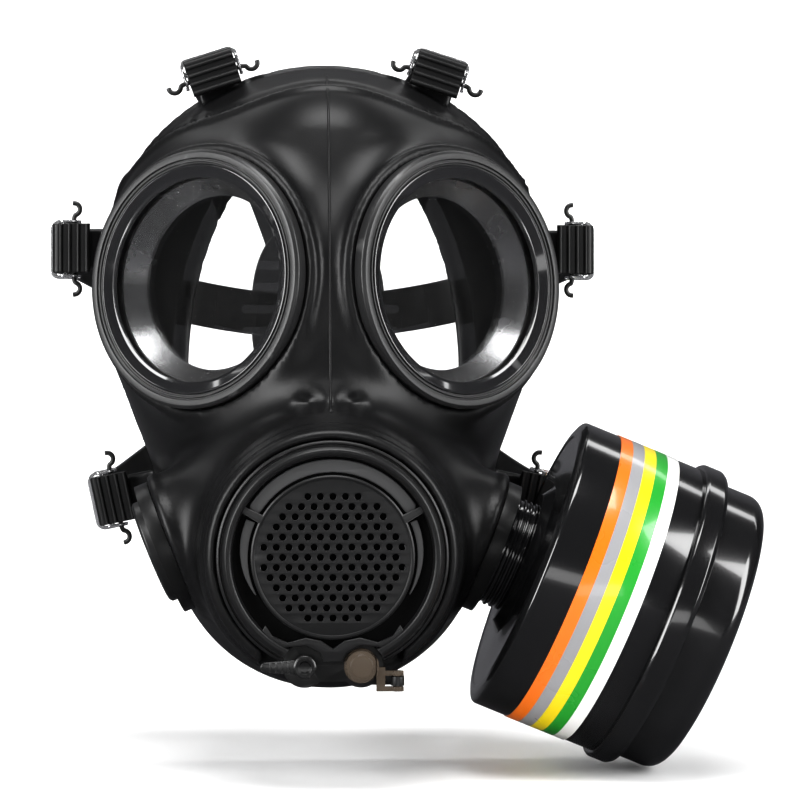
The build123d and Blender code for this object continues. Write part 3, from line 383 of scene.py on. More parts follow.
def build_label():
    """Five colour bands round the can, worked out from the distance along the can's own axis."""
    mat, bsdf = shader("label_bands", grey(0.9), 0.3, coat=0.5, coat_roughness=0.08)
    tree = mat.node_tree
    origin, _, out = port_axes(SIDES["left"])
    place = add_node(tree, "TexCoord").outputs["Object"]
    along = add_node(tree, "VectorMath", {0: place, 1: out}, operation="DOT_PRODUCT")
    start = Vector(origin).dot(Vector(out)) * MM + LABEL_START * MM
    spots = {"Value": along.outputs["Value"], "From Min": start, "From Max": start + LABEL_LENGTH * MM}
    part_way = add_node(tree, "MapRange", spots)
    bands = add_node(tree, "ValToRGB", {"Fac": part_way.outputs["Result"]})
    ramp = bands.color_ramp
    ramp.interpolation = "CONSTANT"
    while len(ramp.elements) < len(LABEL_BANDS):
        ramp.elements.new(0.5)
    for i, (element, color) in enumerate(zip(ramp.elements, LABEL_BANDS)):
        element.position = i / len(LABEL_BANDS)
        element.color = (*color, 1)
    tree.links.new(bands.outputs["Color"], bsdf.inputs["Base Color"])
    lay_grain(mat, bsdf, {"Grain Size": 1200.0, "Grain Depth": 0.1, "Roughness": 0.28}, 0.05, 0.0003)
    return mat


SATIN, MATT, BRIGHT = {"specular": 0.25}, {"specular": 0.35}, {"metallic": 0.9}
ENAMEL, POLISH = {"coat": 0.6, "coat_roughness": 0.06}, {"coat": 0.8, "coat_roughness": 0.05}
# name, colour, colour of worn edges, roughness, its spread, grain (size, depth), bump, cloud size, wear
FINISH = {
    "mask_rubber": dressed(
        "mask_rubber", grey(0.007, 0.0073), grey(0.03, 0.031), 0.36, 0.16, (1800.0, 0.35), 0.22, 22.0, **SATIN
    ),
    "seal_rubber": dressed("seal_rubber", grey(0.012), grey(0.04), 0.5, 0.1, (1500.0, 0.3), 0.2),
    "bezel": dressed(
        "bezel_satin", grey(0.018, 0.0185), grey(0.12), 0.34, 0.08, (2600.0, 0.3), 0.2, wear=0.8
    ),
    "frame_plastic": dressed(
        "lens_frame_plastic", grey(0.36, 0.365), grey(0.42), 0.27, 0.04, (3200.0, 0.06), 0.03,
        30.0, 0.2, **BRIGHT
    ),
    "cover_plastic": dressed(
        "cover_plastic", grey(0.009, 0.0093), grey(0.09), 0.34, 0.1, (2800.0, 0.35), 0.25, wear=0.9, **MATT
    ),
    "housing_plastic": dressed("housing_plastic", grey(0.008), grey(0.07), 0.42, **MATT),
    "port_plastic": dressed("port_plastic", grey(0.007, 0.0072), grey(0.07), 0.36, **MATT),
    "canister_black": dressed(
        "canister_enamel", grey(0.008, 0.0085), grey(0.05), 0.16, 0.06, (900.0, 0.15), 0.06,
        14.0, 0.4, **ENAMEL
    ),
    "strap_rubber": dressed(
        "strap_rubber", grey(0.006, 0.0062), grey(0.04), 0.36, 0.1, (2200.0, 0.3), 0.2, specular=0.3
    ),
    "lever_plastic": dressed("lever_plastic", grey(0.01), grey(0.06), 0.24, 0.06),
    "pin_wire": dressed("pin_wire", grey(0.012), grey(0.2), 0.3, 0.08, metallic=0.4),
    "buckle_chrome": dressed(
        "buckle_chrome", grey(0.72, 0.73), grey(0.85, 0.86), 0.2, 0.06, (700.0, 0.25), 0.05,
        60.0, 0.3, **BRIGHT
    ),
    "valve_rubber": dressed("valve_rubber", grey(0.04, 0.042), grey(0.1), 0.45),
    "diaphragm_metal": dressed("diaphragm_metal", grey(0.35, 0.36), grey(0.6), 0.35, metallic=1.0),
    "diaphragm_film": dressed("diaphragm_film", grey(0.004), grey(0.01), 0.5, specular=0.1),
    "gasket": dressed("lens_gasket", grey(0.01), grey(0.05), 0.5),
    "straw_rubber": dressed("straw_rubber", grey(0.012), grey(0.05), 0.45),
    "cap_plastic": dressed("blanking_cap", grey(0.012, 0.0125), grey(0.07), 0.36),
    "grid_plastic": dressed("filter_grid", grey(0.12), grey(0.3), 0.45),
    "carbon": dressed("carbon_granules", grey(0.006), grey(0.05), 0.7, 0.2, (900.0, 1.0), 0.9),
    "filter_paper": dressed(
        "filter_paper", (0.62, 0.6, 0.54), (0.8, 0.78, 0.72), 0.85, 0.1, (1400.0, 0.6), 0.4
    ),
    "nose_cup_rubber": dressed("nose_cup_rubber", grey(0.02, 0.021), grey(0.06), 0.5),
    "lens": glass_finish("lens_clear", (0.98, 0.99, 0.99), 0.12, 0.02),
    "smoke_cap": glass_finish("smoky_cap", (0.1, 0.08, 0.062), 0.95, 0.16, 0.35),
    "label_print": build_label(),
}


# ------------------------------------------------------------------ making pieces
def repaint(obj, material):
    obj.data.materials.clear()
    obj.data.materials.append(material)


def finish_piece(obj, body, slot, replaces=(), angle=32):
    """Shading, finish, material slot, body and the frame nodes the piece stands for."""
    repaint(obj, FINISH[slot])
    obj.data.shade_smooth()
    if angle:
        obj.data.set_sharp_from_angle(angle=math.radians(angle))
    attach(obj, body)
    if replaces:
        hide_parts(*replaces)


def placed(name, mesh):
    """A mesh or curve as an object in the scene."""
    obj = bpy.data.objects.new(name, mesh)
    bpy.context.scene.collection.objects.link(obj)
    return obj


def evaluated_mesh(obj):
    """The mesh of a curve, or of a mesh with its modifiers applied."""
    bpy.context.view_layer.update()
    return bpy.data.meshes.new_from_object(obj.evaluated_get(bpy.context.evaluated_depsgraph_get()))


def mesh_object(name, verts, faces, matrix=None):
    mesh = bpy.data.meshes.new(name)
    mesh.from_pydata([tuple(v) for v in verts], [], faces)
    mesh.update()
    if matrix is not None:
        mesh.transform(matrix)
    return placed(name, mesh)


def clean(obj, distance=2e-6):
    """Joins doubled points and turns every face outward."""
    bm = bmesh.new()
    bm.from_mesh(obj.data)
    bmesh.ops.remove_doubles(bm, verts=bm.verts, dist=distance)
    bmesh.ops.recalc_face_normals(bm, faces=bm.faces)
    bm.to_mesh(obj.data)
    bm.free()
    return obj


def join(name, objects):
    """Several meshes as one piece."""
    bm = bmesh.new()
    for obj in objects:
        bm.from_mesh(obj.data)
    mesh = bpy.data.meshes.new(name)
    bm.to_mesh(mesh)
    bm.free()
    for obj in objects:
        old = obj.data
        bpy.data.objects.remove(obj)
        bpy.data.meshes.remove(old)
    return placed(name, mesh)


def rounded(corners, steps=5):
    """Corners (a, b, radius) of a closed outline, with an arc of that radius at each."""
    points = []
    count = len(corners)
    for i, (a, b, radius) in enumerate(corners):
        here = Vector((a, b))
        before = Vector(corners[i - 1][:2]) - here
        after = Vector(corners[(i + 1) % count][:2]) - here
        sharp = radius <= 0 or min(before.length, after.length) < 1e-6
        if sharp or before.angle(after) > math.pi - 0.01:
            points.append((a, b))
            continue
        half = before.angle(after) / 2
        cut = min(radius / math.tan(half), 0.48 * before.length, 0.48 * after.length)
        radius = cut * math.tan(half)
        middle = here + (before.normalized() + after.normalized()).normalized() * (radius / math.sin(half))
        start = here + before.normalized() * cut - middle
        turn = start.angle_signed(here + after.normalized() * cut - middle)
        for k in range(steps + 1):
            spot = start.copy()
            spot.rotate(Matrix.Rotation(-turn * k / steps, 2))
            points.append(tuple(middle + spot))
    return points


def lathe(name, corners, axes, segments=144, steps=5):
    """A closed outline of (radius, height, corner radius) turned about the local Z axis."""
    outline = [(max(r, 0.0), z) for r, z in rounded(corners, steps)]
    count = len(outline)
    verts = []
    for i in range(segments):
        a = 2 * math.pi * i / segments
        verts += [(r * math.cos(a), r * math.sin(a), z) for r, z in outline]
    faces = []
    for i in range(segments):
        j = (i + 1) % segments
        for k in range(count):
            m = (k + 1) % count
            faces.append((i * count + k, i * count + m, j * count + m, j * count + k))
    return clean(mesh_object(name, verts, faces, axes_matrix(*axes)))


def flat_plate(name, outlines, low, high, bevel, axes):
    """A plate between two heights from closed outlines of points; outlines inside another are holes."""
    curve = bpy.data.curves.new(name, "CURVE")
    curve.dimensions = "2D"
    curve.fill_mode = "BOTH"
    curve.extrude = (high - low) / 2 - bevel
    curve.bevel_depth = bevel
    curve.bevel_resolution = 2
    curve.offset = -bevel
    for outline in outlines:
        spline = curve.splines.new("POLY")
        spline.points.add(len(outline) - 1)
        for point, (x, y) in zip(spline.points, outline):
            point.co = (x, y, 0, 1)
        spline.use_cyclic_u = True
    holder = placed(name, curve)
    mesh = evaluated_mesh(holder)
    bpy.data.objects.remove(holder)
    mesh.transform(axes_matrix(*axes) @ Matrix.Translation((0, 0, (low + high) / 2)))
    return clean(placed(name, mesh))


def circle(radius, count=96, x=0.0, y=0.0):
    return [
        (x + radius * math.cos(2 * math.pi * i / count), y + radius * math.sin(2 * math.pi * i / count))
        for i in range(count)
    ]


def arc(radius, start, end, count=24, x=0.0, y=0.0):
    """Points along an arc between two angles in degrees."""
    spread = [math.radians(start + (end - start) * i / count) for i in range(count + 1)]
    return [(x + radius * math.cos(a), y + radius * math.sin(a)) for a in spread]


def crescent(inner, outer, start, end):
    """A curved slot with round ends between two radii and two angles."""
    middle, end_radius = (inner + outer) / 2, (outer - inner) / 2
    caps = []
    for angle, first in ((end, end), (start, start + 180)):
        x, y = middle * math.cos(math.radians(angle)), middle * math.sin(math.radians(angle))
        caps.append(arc(end_radius, first, first + 180, 8, x, y)[1:-1])
    return arc(outer, start, end) + caps[0] + arc(inner, end, start) + caps[1]


def tapered_crescent(inner, outer, start, end, count=24):
    """A crescent that is full width at its start and runs out to nothing at its end."""
    rising = []
    for i in range(count + 1):
        a = math.radians(start + (end - start) * i / count)
        radius = inner + 0.4 + (outer - inner - 0.4) * (1 - (i / count) ** 2)
        rising.append((radius * math.cos(a), radius * math.sin(a)))
    return rising + arc(inner, end, start, count)


def tube(name, path, radius, axes=None, closed=False):
    """A round wire along points, with rounded ends, as a mesh."""
    curve = bpy.data.curves.new(name, "CURVE")
    curve.dimensions = "3D"
    curve.bevel_depth = radius
    curve.bevel_resolution = 4
    curve.use_fill_caps = True
    spline = curve.splines.new("NURBS")
    spline.points.add(len(path) - 1)
    for point, co in zip(spline.points, path):
        point.co = (*co, 1)
    spline.order_u = 3
    spline.use_endpoint_u = not closed
    spline.use_cyclic_u = closed
    spline.resolution_u = 6
    holder = placed(name, curve)
    mesh = evaluated_mesh(holder)
    bpy.data.objects.remove(holder)
    mesh.transform(axes_matrix(*axes) if axes else Matrix.Scale(MM, 4))
    return clean(placed(name, mesh))


# ------------------------------------------------------------------ distance fields, mm
def blend_union(a, b, k):
    """Union of two fields with a fillet about k wide."""
    h = np.maximum(k - np.abs(a - b), 0.0) / k
    return np.minimum(a, b) - h * h * k * 0.25


def blend_cut(a, b, k):
    """Field a with field b cut from it, the edge rounded about k wide."""
    return -blend_union(-a, b, k)


def egg_field(p, shape, shrink):
    """A ball of one radius across and up, and another from front to back."""
    (cx, cy, cz), radius, depth = shape
    radius, depth = radius - shrink, depth - shrink
    x, y, z = p[0] - cx, p[1] - cy, p[2] - cz
    k0 = np.sqrt((x / radius) ** 2 + (y / depth) ** 2 + (z / radius) ** 2)
    k1 = np.sqrt((x / radius**2) ** 2 + (y / depth**2) ** 2 + (z / radius**2) ** 2)
    return k0 * (k0 - 1.0) / np.maximum(k1, 1e-6)


def capsule_field(p, a, b, radius, radius_b):
    """A tapered round bar between two points."""
    a, b = np.array(a, np.float32), np.array(b, np.float32)
    along = b - a
    t = sum((p[i] - a[i]) * along[i] for i in range(3)) / float(along @ along)
    t = np.clip(t, 0, 1)
    d = np.sqrt(sum((p[i] - a[i] - along[i] * t) ** 2 for i in range(3)))
    return d - (radius + (radius_b - radius) * t)


def axial(p, axes):
    """Distance from an axis and height along it."""
    origin, _, out = axes
    out = np.array(Vector(out).normalized(), np.float32)
    rel = [p[i] - np.float32(origin[i]) for i in range(3)]
    height = sum(rel[i] * out[i] for i in range(3))
    radial = np.sqrt(np.maximum(sum(r * r for r in rel) - height * height, 0.0))
    return radial, height


def drum_field(radial, height, radius, low, high, edge=0.0):
    """A cylinder between two heights with rounded edges."""
    dr = radial - radius + edge
    dz = np.abs(height - (low + high) / 2) - (high - low) / 2 + edge
    outside = np.sqrt(np.maximum(dr, 0) ** 2 + np.maximum(dz, 0) ** 2)
    return np.minimum(np.maximum(dr, dz), 0.0) + outside - edge


def torus_field(radial, height, radius, level, thick):
    return np.sqrt((radial - radius) ** 2 + (height - level) ** 2) - thick


def smoothstep(low, high, value):
    t = np.clip((value - low) / (high - low), 0.0, 1.0)
    return t * t * (3 - 2 * t)


def rim_field(p):
    """Negative in front of the curved rear edge."""
    return np.sqrt((p[1] - (RIM_REACH - RIM_RADIUS)) ** 2 + (p[2] - RIM_HEIGHT) ** 2) - RIM_RADIUS


def head_form(p, shrink=0.0):
    """The blank without its collars and bosses."""
    to_cheek, to_chin, to_nose = FORM_BLENDS
    d = blend_union(egg_field(p, BROW, shrink), egg_field(p, CHEEK, shrink), to_cheek)
    d = blend_union(d, egg_field(p, CHIN, shrink), to_chin)
    nose = capsule_field(p, NOSE_TOP, NOSE_FOOT, NOSE_RADII[0] - shrink, NOSE_RADII[1] - shrink)
    return blend_union(d, nose, to_nose)


def lug_field(p, name, side):
    """Tab on the rear edge with the eye that the buckle's wire goes through."""
    origin, out, front = buckle_axes(name, side)
    out, front = Vector(out).normalized(), Vector(front).normalized()
    across = front.cross(out)
    rel = [p[i] - np.float32(origin[i]) for i in range(3)]
    x, y, z = (sum(rel[i] * np.float32(axis[i]) for i in range(3)) for axis in (out, across, front))
    edge = 1.0
    dx = np.abs(x + LUG_LENGTH / 2) - LUG_LENGTH / 2 + edge
    dy = np.abs(y) - LUG_WIDTH / 2 + edge
    dz = np.abs(z) - LUG_THICK / 2 + edge
    outside = np.sqrt(np.maximum(dx, 0) ** 2 + np.maximum(dy, 0) ** 2 + np.maximum(dz, 0) ** 2)
    tab = outside + np.minimum(np.maximum(dx, np.maximum(dy, dz)), 0) - edge
    barrel = drum_field(np.sqrt(x * x + z * z), y, LUG_EYE, -LUG_WIDTH / 2, LUG_WIDTH / 2, 0.5)
    return np.maximum(blend_union(tab, barrel, 1.5), PIN_RADIUS + 0.1 - np.sqrt(x * x + z * z))


def face_field(p):
    """Rubber is where this is negative."""
    solid = head_form(p)
    # rear band set back behind a rolled bead over the brow
    back = rim_field(p)
    over_brow = smoothstep(52.0, 74.0, p[2])
    bead = back + BEAD_MIDDLE - (BEAD_MIDDLE - BEAD_SIDE) * (p[0] / BEAD_HALF_SPAN) ** 2
    solid = solid - over_brow * BEAD_RISE * np.exp(-((bead / BEAD_WIDTH) ** 2))
    solid = solid + over_brow * BAND_SET_BACK * np.exp(-(((bead - BAND_BEHIND_BEAD) / BAND_FADE) ** 2))
    # thickened edge all round the rear
    solid = solid - 0.7 * np.exp(-(((back + 1.5) / 1.6) ** 2))
    inner = head_form(p, WALL)
    for side in SIDES.values():
        radial, height = axial(p, lens_axes(side))
        collar = drum_field(radial, height, COLLAR_RADIUS - 0.9, -40.0, -BEZEL_THICK - 1.0, 1.2)
        solid = blend_union(solid, collar, 11.0)
        solid = blend_union(solid, torus_field(radial, height, 47.4, -BEZEL_THICK - 2.0, 1.9), 1.2)
    mouth_r, mouth_h = axial(p, MOUTH_AXES)
    solid = blend_union(solid, drum_field(mouth_r, mouth_h, 44.5, -80.0, -16.0, 3.0), 20.0)
    solid = blend_union(solid, drum_field(mouth_r, mouth_h, MOUTH_COLLAR, -40.0, 2.0, 3.2), 9.0)
    solid = blend_union(solid, torus_field(mouth_r, mouth_h, 42.6, -9.0, 2.0), 2.0)
    for side in SIDES.values():
        radial, height = axial(p, port_axes(side))
        boss = drum_field(radial, height, PORT_BOSS - 0.5, -46.0, -5.3, 1.4)
        solid = blend_union(solid, boss, 9.0)
        solid = blend_union(solid, torus_field(radial, height, PORT_BOSS - 1.4, -7.2, 1.6), 1.5)
    # soft dimples each side of the foot of the nose
    dimple = np.exp(-(((np.abs(p[0]) - DIMPLE_X) / 4.5) ** 2) - ((p[2] - DIMPLE_Z) / 3.0) ** 2)
    solid = solid + np.where(p[1] < -60.0, DIMPLE_DEPTH * dimple, 0.0)
    hollow = np.maximum(inner, solid + LEAST_WALL)
    for side in SIDES.values():
        radial, height = axial(p, lens_axes(side))
        behind = drum_field(radial, height, COLLAR_RADIUS - 3.0, -54.0, -BEZEL_THICK - COLLAR_DEPTH)
        hollow = np.minimum(hollow, behind)
        radial, height = axial(p, port_axes(side))
        hollow = np.minimum(hollow, drum_field(radial, height, PORT_TUBE + 0.05, -44.0, 20.0))
    hollow = np.minimum(hollow, drum_field(mouth_r, mouth_h, HOUSING_RADIUS + 0.05, -72.0, 12.0))
    d = blend_cut(solid, hollow, 0.8)
    d = -blend_union(-d, -back, 1.2)
    for name in BUCKLES:
        for side in SIDES.values():
            d = np.minimum(d, np.maximum(lug_field(p, name, side), -inner))
    for side in SIDES.values():
        radial, height = axial(p, lens_axes(side))
        d = np.maximum(d, -drum_field(radial, height, COLLAR_BORE, -20.0, 10.0))
        d = blend_cut(d, drum_field(radial, height, BEZEL_RADIUS + 0.25, -BEZEL_THICK - 0.05, 40.0), 0.5)
        radial, height = axial(p, port_axes(side))
        d = blend_cut(d, drum_field(radial, height, PORT_FLANGE + 0.3, -5.05, 40.0), 0.5)
    d = blend_cut(d, drum_field(mouth_r, mouth_h, COVER_RADIUS + 0.35, -4.3, 20.0), 0.5)
    notch = np.maximum(np.abs(p[0]) - TETHER_X - 2.0, (p[2] - MOUTH_CENTRE[2]) + DRINK_DROP - 9.0)
    notch = np.maximum(notch, p[1] - (MOUTH_CENTRE[1] + 11.8))
    notch = np.maximum(notch, -(p[2] - MOUTH_CENTRE[2]) - 60)
    return blend_cut(d, notch, 0.8)


def seal_field(p):
    """Thin lip turned in from the rear edge, with an oval for the face."""
    room = head_form(p, WALL + 0.05)
    back = rim_field(p)
    lip = np.maximum(room, np.maximum(back + 0.5, -(back + 2.9)))
    oval = np.sqrt((p[0] / SEAL_OVAL[0]) ** 2 + ((p[2] - SEAL_OVAL_Z) / SEAL_OVAL[1]) ** 2)
    opening = (oval - 1.0) * SEAL_OVAL[0]
    rolled = np.sqrt(opening**2 + (back + 1.9) ** 2) - 1.7
    lip = np.maximum(lip, -opening)
    return np.maximum(blend_union(lip, np.maximum(rolled, room), 1.5), -(back + 6.0))


def net(field, low, high, step):
    """Surface net of a field: points on its zero surface and the quads between them."""
    axes = [np.arange(low[i], high[i] + step, step, dtype=np.float32) for i in range(3)]
    nx, ny, nz = (len(a) for a in axes)
    values = np.empty((nx, ny, nz), np.float32)
    slab = 12
    for start in range(0, nx, slab):
        x, y, z = np.meshgrid(axes[0][start : start + slab], axes[1], axes[2], indexing="ij")
        values[start : start + slab] = field((x, y, z))
    inside = values < 0
    total = np.zeros((nx - 1, ny - 1, nz - 1, 3), np.float32)
    hits = np.zeros((nx - 1, ny - 1, nz - 1), np.float32)
    corners = [(i, j, k) for i in (0, 1) for j in (0, 1) for k in (0, 1)]
    parts = {c: values[tuple(slice(c[i], n - 1 + c[i]) for i, n in enumerate((nx, ny, nz)))] for c in corners}
    for a in corners:
        for axis in range(3):
            if a[axis]:
                continue
            b = tuple(a[i] + (i == axis) for i in range(3))
            va, vb = parts[a], parts[b]
            crossing = (va < 0) != (vb < 0)
            t = np.where(crossing, va / np.where(crossing, va - vb, 1.0), 0.0)
            for i in range(3):
                total[..., i] += np.where(crossing, a[i] + (t if i == axis else 0.0), 0.0)
            hits += crossing
    filled = hits > 0
    index = np.full(filled.shape, -1, np.int64)
    index[filled] = np.arange(int(filled.sum()))
    cells = np.argwhere(filled)
    points = (cells + total[filled] / hits[filled][:, None]) * step + np.array([a[0] for a in axes])
    quads = []
    for axis in range(3):
        u, v = (axis + 1) % 3, (axis + 2) % 3
        head = [slice(1, n - 1) for n in (nx, ny, nz)]
        tail = list(head)
        head[axis] = slice(0, (nx, ny, nz)[axis] - 1)
        tail[axis] = slice(1, (nx, ny, nz)[axis])
        first, second = inside[tuple(head)], inside[tuple(tail)]
        for flip, change in ((False, first & ~second), (True, ~first & second)):
            spots = np.argwhere(change) + np.array([0 if i == axis else 1 for i in range(3)])
            ring = []
            for du, dv in ((-1, -1), (0, -1), (0, 0), (-1, 0)):
                cell = spots.copy()
                cell[:, u] += du
                cell[:, v] += dv
                ring.append(index[cell[:, 0], cell[:, 1], cell[:, 2]])
            quads.append(np.stack(ring[::-1] if flip else ring, 1))
    return points.astype(np.float64), np.concatenate(quads)


def settle(field, points, passes=3, step=0.25):
    """Moves points onto the field's zero surface."""
    for _ in range(passes):
        p = tuple(points[:, i] for i in range(3))
        value = field(p)
        gradient = np.empty_like(points)
        for i in range(3):
            ahead = [q.copy() for q in p]
            behind = [q.copy() for q in p]
            ahead[i] = ahead[i] + step
            behind[i] = behind[i] - step
            gradient[:, i] = (field(tuple(ahead)) - field(tuple(behind))) / (2 * step)
        size = np.maximum((gradient**2).sum(1), 0.05)
        points = points - gradient * np.clip(value / size, -0.5, 0.5)[:, None]
    return points


def net_object(name, field, low, high, step):
    points, quads = net(field, low, high, step)
    points = settle(field, points)
    mesh = bpy.data.meshes.new(name)
    mesh.vertices.add(len(points))
    mesh.vertices.foreach_set("co", (points * MM).astype(np.float32).ravel())
    mesh.loops.add(quads.size)
    mesh.loops.foreach_set("vertex_index", quads.ravel().astype(np.int32))
    mesh.polygons.add(len(quads))
    mesh.polygons.foreach_set("loop_start", np.arange(0, quads.size, 4, dtype=np.int32))
    mesh.update(calc_edges=True)
    mesh.validate()
    return placed(name, mesh)


# ------------------------------------------------------------------ camera and light
def build_stage():
    scene = bpy.context.scene
    floor_z = CAD_BOUNDS[0][2] - 0.001
    verts = []
    profile = [(-3.0, 0.0), (1.2, 0.0)]
    profile += [(1.2 + 0.8 * math.sin(a), 0.8 - 0.8 * math.cos(a)) for a in np.linspace(0.1, math.pi / 2, 12)]
    profile += [(2.0, 4.0)]
    for x in (-5.0, 5.0):
        verts += [(x, y, floor_z + z) for y, z in profile]
    n = len(profile)
    faces = [(i, i + 1, n + i + 1, n + i) for i in range(n - 1)]
    sweep = mesh_object("studio_sweep", verts, faces)
    paper, bsdf = shader("studio_paper", (0.92, 0.92, 0.92), 0.9, specular=0.1)
    tree = paper.node_tree
    glossy = add_node(tree, "LightPath").outputs["Is Glossy Ray"]
    tones = {"Factor": glossy, "A": (0.92, 0.92, 0.92, 1), "B": (0.07, 0.07, 0.075, 1)}
    tone = add_node(tree, "Mix", tones, data_type="RGBA")
    tree.links.new(tone.outputs["Result"], bsdf.inputs["Base Color"])
    sweep.data.materials.append(paper)
    sweep.data.shade_smooth()

    camera = bpy.data.objects.new("camera", bpy.data.cameras.new("camera"))
    scene.collection.objects.link(camera)
    azimuth = math.radians(VIEW_AZIMUTH)
    aim = Vector(VIEW_AIM) * MM
    camera.location = aim + Vector((math.sin(azimuth), -math.cos(azimuth), 0.0)) * VIEW_DISTANCE
    camera.rotation_euler = (aim - camera.location).to_track_quat("-Z", "Y").to_euler()
    camera.data.lens = VIEW_LENS
    camera.data.sensor_width = 36.0
    camera.data.clip_end = 50.0
    scene.camera = camera

    def lamp(name, place, size, power, target=(0, -0.05, 0)):
        data = bpy.data.lights.new(name, "AREA")
        data.shape = "RECTANGLE"
        data.size, data.size_y = size
        data.energy = power
        obj = bpy.data.objects.new(name, data)
        scene.collection.objects.link(obj)
        obj.location = place
        obj.rotation_euler = (Vector(target) - Vector(place)).to_track_quat("-Z", "Y").to_euler()

    lamp("left_softbox", (-1.1, -0.75, 0.35), (0.55, 1.1), 20)
    lamp("right_softbox", (1.1, -0.7, 0.4), (0.5, 1.1), 17)
    lamp("top_softbox", (0.0, -0.5, 1.3), (0.9, 0.5), 15)
    lamp("low_fill", (0.1, -1.4, -0.1), (0.8, 0.3), 2)
    lamp("backdrop_light", (0.0, 0.9, 1.4), (3.0, 1.0), 40, (0.0, 2.0, 0.2))

    world = bpy.data.worlds.new("studio")
    scene.world = world
    world.use_nodes = True
    tree = world.node_tree
    plain = tree.nodes["Background"]
    plain.inputs["Color"].default_value = (0.9, 0.92, 0.95, 1)
    plain.inputs["Strength"].default_value = 0.05
    white = add_node(tree, "Background", {"Color": (1, 1, 1, 1), "Strength": 1.2})
    seen = add_node(tree, "LightPath").outputs["Is Camera Ray"]
    looks = {"Fac": seen, 1: plain.outputs["Background"], 2: white.outputs["Background"]}
    mix = add_node(tree, "MixShader", looks)
    tree.links.new(mix.outputs["Shader"], tree.nodes["World Output"].inputs["Surface"])
    scene.view_settings.view_transform = "Standard"
    scene.view_settings.look = "Medium High Contrast"


build_stage()


# ------------------------------------------------------------------ face blank and seal
def front_of_face(z):
    """Where the blank's front surface lies on the middle plane at a height."""
    depth = np.arange(-125.0, 0.0, 0.1)
    level = np.zeros_like(depth)
    return float(depth[np.argmax(face_field((level, depth, level + z)) < 0)])


def build_face():
    low, high = (-106.0, -124.0, -118.0), (106.0, 10.0, 124.0)
    step = 1.5
    blank = net_object("face_blank", face_field, low, high, step)
    finish_piece(blank, "root", "mask_rubber", ["facepiece"], angle=0)
    lip = net_object("face_lip", seal_field, low, high, 1.8)
    finish_piece(lip, "root", "seal_rubber", ["face_seal"], angle=0)
    line = [(0.0, front_of_face(z) + 0.1, float(z)) for z in np.linspace(109.0, -13.0, 40)]
    seam = tube("mould_seam", line, 0.5)
    finish_piece(seam, "root", "mask_rubber", angle=0)


# ------------------------------------------------------------------ eyepieces
def build_bezels():
    """Turned rings with a matt flange, two fine grooves and a polished chamfer down to the lens."""
    lip, bore, rim = BEZEL_LIP, COLLAR_BORE - 0.05, BEZEL_RADIUS
    for label, side in SIDES.items():
        flange = [
            (bore - 0.55, -3.6, 0), (bore - 0.55, -11.5, 0), (bore, -11.5, 0), (bore, -BEZEL_THICK, 0),
            (rim, -BEZEL_THICK, 0.3), (rim, -0.9, 0.8), (rim - 1.1, 0.0, 0.5), (rim - 3.1, 0.0, 0.25),
            (rim - 3.3, -0.8, 0.1), (rim - 3.7, -0.8, 0.1), (rim - 3.9, -0.15, 0.15),
            (rim - 4.4, -0.15, 0.15), (rim - 4.6, -0.9, 0.1), (rim - 5.0, -0.9, 0.1), (rim - 5.15, -3.6, 0),
        ]
        chamfer = [
            (lip, -3.6, 0), (rim - 5.2, -3.6, 0), (rim - 5.2, -0.45, 0.35), (rim - 5.9, -0.45, 0.3),
            (lip + 1.0, -2.35, 0.4), (lip, -2.6, 0.1),
        ]
        axes = lens_axes(side)
        ring = lathe(f"bezel_flange_{label}", flange, axes, 192, 3)
        finish_piece(ring, "root", "bezel", [f"lens_bezel_{label}"])
        inner = lathe(f"bezel_chamfer_{label}", chamfer, axes, 192, 3)
        finish_piece(inner, "root", "bezel", [f"lens_bezel_{label}"])
        repaint(inner, GLOSS_CHAMFER)


# ------------------------------------------------------------------ speech unit
def drink_bay(name, grow):
    """Cutting body for the bay round the two drinking lobes."""
    lobes = []
    for x in (-DRINK_OFFSET, DRINK_OFFSET):
        outline = [(x + px, -DRINK_DROP + py) for px, py in circle(BAY_LOBE + grow, 48)]
        lobes.append(flat_plate(name, [outline], -8.0, 14.0, 0.0, MOUTH_AXES))
    top = -DRINK_DROP + 5.4 + grow
    web = [(-DRINK_OFFSET, top - 30), (DRINK_OFFSET, top - 30), (DRINK_OFFSET, top), (-DRINK_OFFSET, top)]
    lobes.append(flat_plate(name, [web], -8.0, 14.0, 0.0, MOUTH_AXES))
    return lobes


def cut(obj, tools):
    """Takes each tool out of a piece."""
    for tool in tools:
        step = obj.modifiers.new("cut", "BOOLEAN")
        step.operation = "DIFFERENCE"
        step.solver = "EXACT"
        step.object = tool
        mesh = evaluated_mesh(obj)
        obj.modifiers.clear()
        obj.data = mesh
    for tool in tools:
        bpy.data.objects.remove(tool)


def grille_outlines():
    holes = [circle(GRILLE_RADIUS - 0.3, 128)]
    middle = (len(GRILLE_ROWS) - 1) / 2
    for row, count in enumerate(GRILLE_ROWS):
        for i in range(count):
            x, y = (i - (count - 1) / 2) * GRILLE_PITCH, (row - middle) * GRILLE_ROW_PITCH
            holes.append(circle(GRILLE_HOLE, 16, x, y)[::-1])
    return holes


def finish_cover(piece):
    finish_piece(piece, "root", "cover_plastic", ["speech_cover"])


